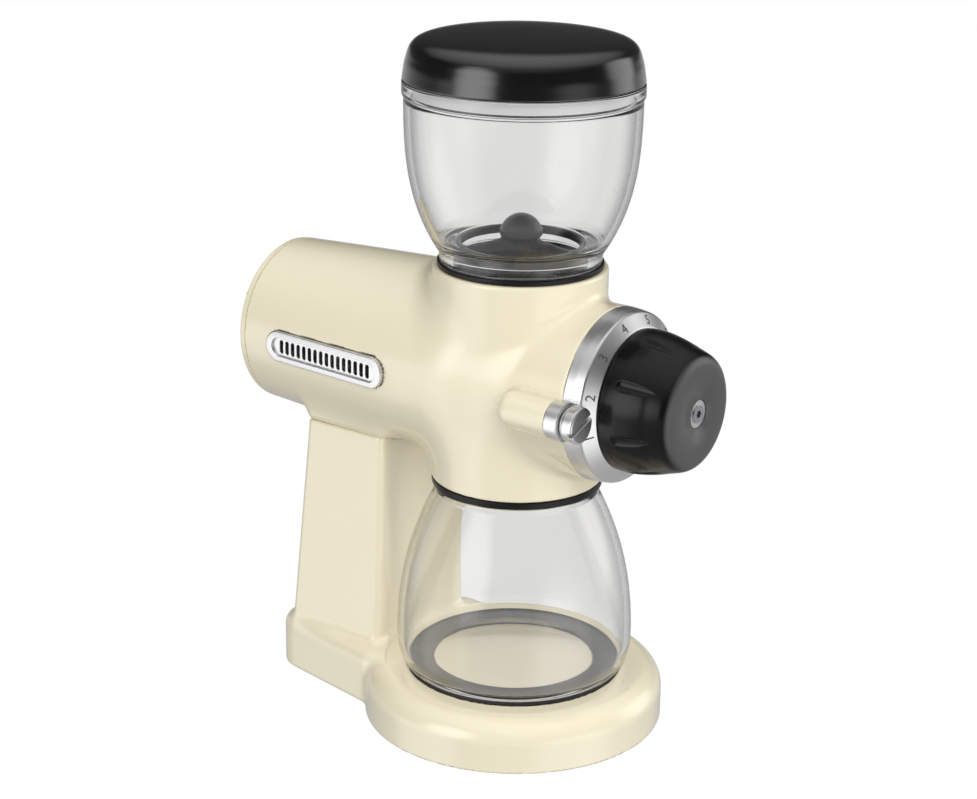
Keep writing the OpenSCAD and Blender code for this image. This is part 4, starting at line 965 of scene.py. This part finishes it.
# Ramps run from straight down to straight up; a soft box is (aim, outer and inner cosine, brightness).
roomSize = dict(diffuse=0.93, seenThrough=0.78, glassGlow=0.5,
                room=[(0, 0.66), (0.48, 0.66), (0.62, 0.6), (1, 0.42)],
                mirror=[(0, 0.4), (0.45, 0.45), (0.53, 0.05), (0.72, 0.03), (1, 0.12)],
                softBoxes=[((-0.93, 0.2, 0.2), 0.90, 0.99, 2.6), ((0.78, -0.55, 0.2), 0.90, 0.99, 1.4),
                           ((-0.1, -0.92, -0.36), 0.80, 0.97, 0.9), ((-0.75, 0.54, -0.38), 0.85, 0.98, 1.0)])


def addRamp(n, link, height, stops):
    ramp = n.new("ShaderNodeValToRGB")
    link(height, ramp.inputs["Fac"])
    points = ramp.color_ramp.elements
    ends = [(points[0], stops[0]), (points[1], stops[-1])]
    for point, (at, value) in ends + [(points.new(at), (at, value)) for at, value in stops[1:-1]]:
        point.position, point.color = at, (value, value, value, 1)
    return ramp.outputs["Color"]


def addWorld():
    s = roomSize
    world = bpy.data.worlds.new("studio")
    bpy.context.scene.world = world
    world.use_nodes = True
    n, link = world.node_tree.nodes, world.node_tree.links.new
    place, split, lift, mirror, through, white, shine, glow, path = newNodes(
        n, "TexCoord", "SeparateXYZ", "MapRange", "Background", "Background", "Background", "VectorMath",
        "VectorMath", "LightPath")
    setInputs(lift, From_Min=-1)
    link(place.outputs["Generated"], split.inputs["Vector"])
    link(split.outputs["Z"], lift.inputs["Value"])
    height = lift.outputs["Result"]
    room = n["Background"]
    link(addRamp(n, link, height, s["room"]), room.inputs["Color"])
    setInputs(room, Strength=s["diffuse"])
    boxes = None
    for aim, outer, inner, bright in s["softBoxes"]:
        toward, edge, add = newNodes(n, "VectorMath", "MapRange", "VectorMath")
        toward.operation, edge.interpolation_type, add.operation = "DOT_PRODUCT", "SMOOTHSTEP", "ADD"
        toward.inputs[1].default_value = Vector(aim).normalized()
        link(place.outputs["Generated"], toward.inputs[0])
        setInputs(edge, From_Min=outer, From_Max=inner, To_Max=bright)
        link(toward.outputs["Value"], edge.inputs["Value"])
        if boxes:
            link(boxes, add.inputs[0])
        link(edge.outputs["Result"], add.inputs[1])
        boxes = add.outputs["Vector"]
    # Gloss reflects the white table, the dark room and the soft boxes.
    link(addRamp(n, link, height, s["mirror"]), shine.inputs[0])
    link(boxes, shine.inputs[1])
    link(shine.outputs["Vector"], mirror.inputs["Color"])
    glow.operation = "MULTIPLY_ADD"
    link(boxes, glow.inputs[0])
    glow.inputs[1].default_value = [s["glassGlow"]] * 3
    glow.inputs[2].default_value = [s["seenThrough"]] * 3
    link(glow.outputs["Vector"], through.inputs["Color"])
    setInputs(white, Color=(1, 1, 1, 1))
    last = room.outputs["Background"]
    for ray, shader in (("Glossy", mirror), ("Transmission", through), ("Camera", white)):
        mix = n.new("ShaderNodeMixShader")
        link(path.outputs["Is " + ray + " Ray"], mix.inputs["Fac"])
        link(last, mix.inputs[1])
        link(shader.outputs["Background"], mix.inputs[2])
        last = mix.outputs["Shader"]
    link(last, n["World Output"].inputs["Surface"])


addWorld()
bpy.context.scene.view_settings.view_transform = "Standard"

print("scene ready")
